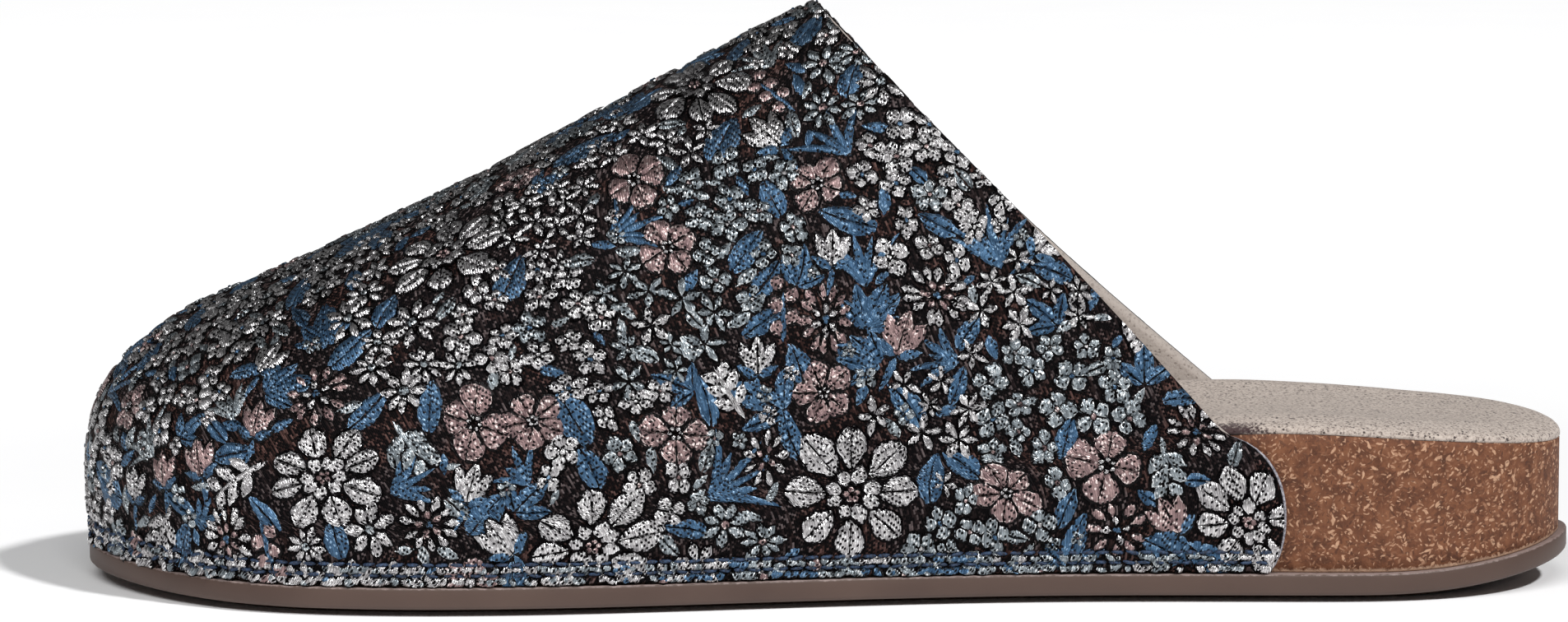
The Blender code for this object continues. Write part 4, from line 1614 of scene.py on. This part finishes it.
def joinMeshes(name, meshes, material):
    starts = np.cumsum([0] + [len(points) for points, _ in meshes])
    faces = [[start + i for i in face] for start, (_, own) in zip(starts.tolist(), meshes) for face in own]
    return makePiece(name, np.vstack([points for points, _ in meshes]), faces, material)


stitch = {"length": 2.3, "radius": 0.34, "lift": 0.05, "rise": 0.20, "tilt": 0.16, "rings": 7, "sides": 6}


def makeStitches():
    count = stitch["rings"]
    share = np.linspace(-1.0, 1.0, count)[:, None]
    sizes = stitch["radius"] * np.maximum(1.0 - np.abs(share) ** 3, 0.05) ** 0.5
    lift = stitch["rise"] * (1.0 - share**2) + stitch["lift"]
    meshes = []
    for side in (0, 1):
        for row in upper["stitchRows"]:
            spots, direction = walk(hemLine(side, row), upper["stitchPitch"])
            place, normal, _ = surface.nearest(spots)
            for spot, ahead, out in zip(place, direction, normal):
                ahead = unit(ahead + np.array([0.0, 0.0, draw.uniform(-stitch["tilt"], stitch["tilt"])]))
                centres = spot + share * stitch["length"] / 2 * ahead + lift * out
                across = np.cross(ahead, out)
                meshes.append(tube(centres, sizes, [across] * count, [out] * count, stitch["sides"]))
    piece = joinMeshes("hem_stitches", meshes, materials["navy"])


flapEdge = {"radius": 0.32, "out": 0.15, "depth": 0.5, "top": 28.2, "sides": 8, "thinEnd": 0.25}


def makeFlapEdges():
    meshes = []
    for side in (0, 1):
        ids = cloth["ids"][side]
        edge = cloth["points"][ids[-1]]
        keep = edge[:, 2] < flapEdge["top"]
        normal = cloth["normals"][ids[-1]]
        out = unit(edge - cloth["points"][ids[-2]])
        line = (edge + out * flapEdge["out"] - normal * flapEdge["depth"])[keep]
        fromEnd = np.minimum(np.arange(len(line)), np.arange(len(line))[::-1])
        sizes = flapEdge["radius"] * np.minimum(1.0, flapEdge["thinEnd"] * (1.0 + fromEnd))
        points, faces = tube(line, sizes, out[keep], normal[keep], flapEdge["sides"])
        meshes.append((points, faces if side == 0 else [face[::-1] for face in faces]))
    piece = joinMeshes("flap_edges", meshes, materials["edge"])


makeStitches()
makeFlapEdges()
print("stitches and flap edges made")


# stage: floor, light and camera

stage = {
    "floorSize": 9000.0,
    "glowFrom": 130.0,  # the floor glows from this far away, so that its far part stays white
    "glowTo": 560.0,
    "glow": 0.30,
    "world": 0.11,
    "sun": {"from": (0.68, -0.54, 1.0), "strength": 2.37, "spread": 5.0},
    "key": {"place": (-360.0, -1180.0, 1230.0), "aim": (-20.0, 0.0, 40.0), "width": 1600.0, "height": 320.0,
            "power": 19.5},
}


def makeFloor():
    half = stage["floorSize"] / 2 * mm
    mesh = bpy.data.meshes.new("floor")
    corners = [(-half, -half, 0), (half, -half, 0), (half, half, 0), (-half, half, 0)]
    mesh.from_pydata(corners, [], [(0, 1, 2, 3)])
    material, tree, shader = startMaterial("pale_floor", 0.7, 0.2)
    place = placeCoordinates(tree)
    grain = noiseAt(tree, place, 0.02, 2.0).outputs[0]
    tone = ramp(tree, grain, [(0.3, (252, 252, 253)), (0.7, (254, 254, 254))])
    tree.links.new(tone, shader.inputs["Base Color"])
    shader.inputs["Emission Color"].default_value = (1.0, 1.0, 1.0, 1.0)
    away = vector(tree, "LENGTH", place)
    glow = softStep(tree, away, stage["glowFrom"], stage["glowTo"], 0.0, stage["glow"])
    tree.links.new(glow, shader.inputs["Emission Strength"])
    mesh.materials.append(material)
    floor = addObject("floor", mesh)


def aimed(name, data, direction):
    light = addObject(name, data)
    light.rotation_euler = Vector(direction).to_track_quat("-Z", "Y").to_euler()
    return light


def makeLights():
    world = bpy.data.worlds.new("studio")
    world.use_nodes = True
    background = world.node_tree.nodes["Background"]
    background.inputs["Color"].default_value = (1.0, 1.0, 1.0, 1.0)
    background.inputs["Strength"].default_value = stage["world"]
    bpy.context.scene.world = world
    sun = bpy.data.lights.new("over_heel", "SUN")
    sun.energy = stage["sun"]["strength"]
    sun.angle = math.radians(stage["sun"]["spread"])
    aimed("over_heel", sun, -Vector(stage["sun"]["from"]))
    key = stage["key"]
    panel = bpy.data.lights.new("front_key", "AREA")
    panel.shape = "RECTANGLE"
    panel.size = key["width"] * mm
    panel.size_y = key["height"] * mm
    panel.energy = key["power"]
    light = aimed("front_key", panel, Vector(key["aim"]) - Vector(key["place"]))
    light.location = Vector(key["place"]) * mm


view = {
    "elevation": 6.4,
    "distance": 1000.0,
    "target": (-7.2, 0.0, 45.4),
    "lens": 133.63,
    "sensor": 36.0,
}


def makeCamera():
    data = bpy.data.cameras.new("camera")
    data.lens = view["lens"]
    data.sensor_width = view["sensor"]
    camera = addObject("camera", data)
    tilt = math.radians(view["elevation"])
    back = Vector((0.0, -math.cos(tilt), math.sin(tilt))) * view["distance"]
    camera.location = (Vector(view["target"]) + back) * mm
    camera.rotation_euler = (math.pi / 2 - tilt, 0.0, 0.0)
    bpy.context.scene.camera = camera


makeFloor()
makeLights()
makeCamera()
bpy.context.scene.view_settings.view_transform = "Standard"
print("stage made")
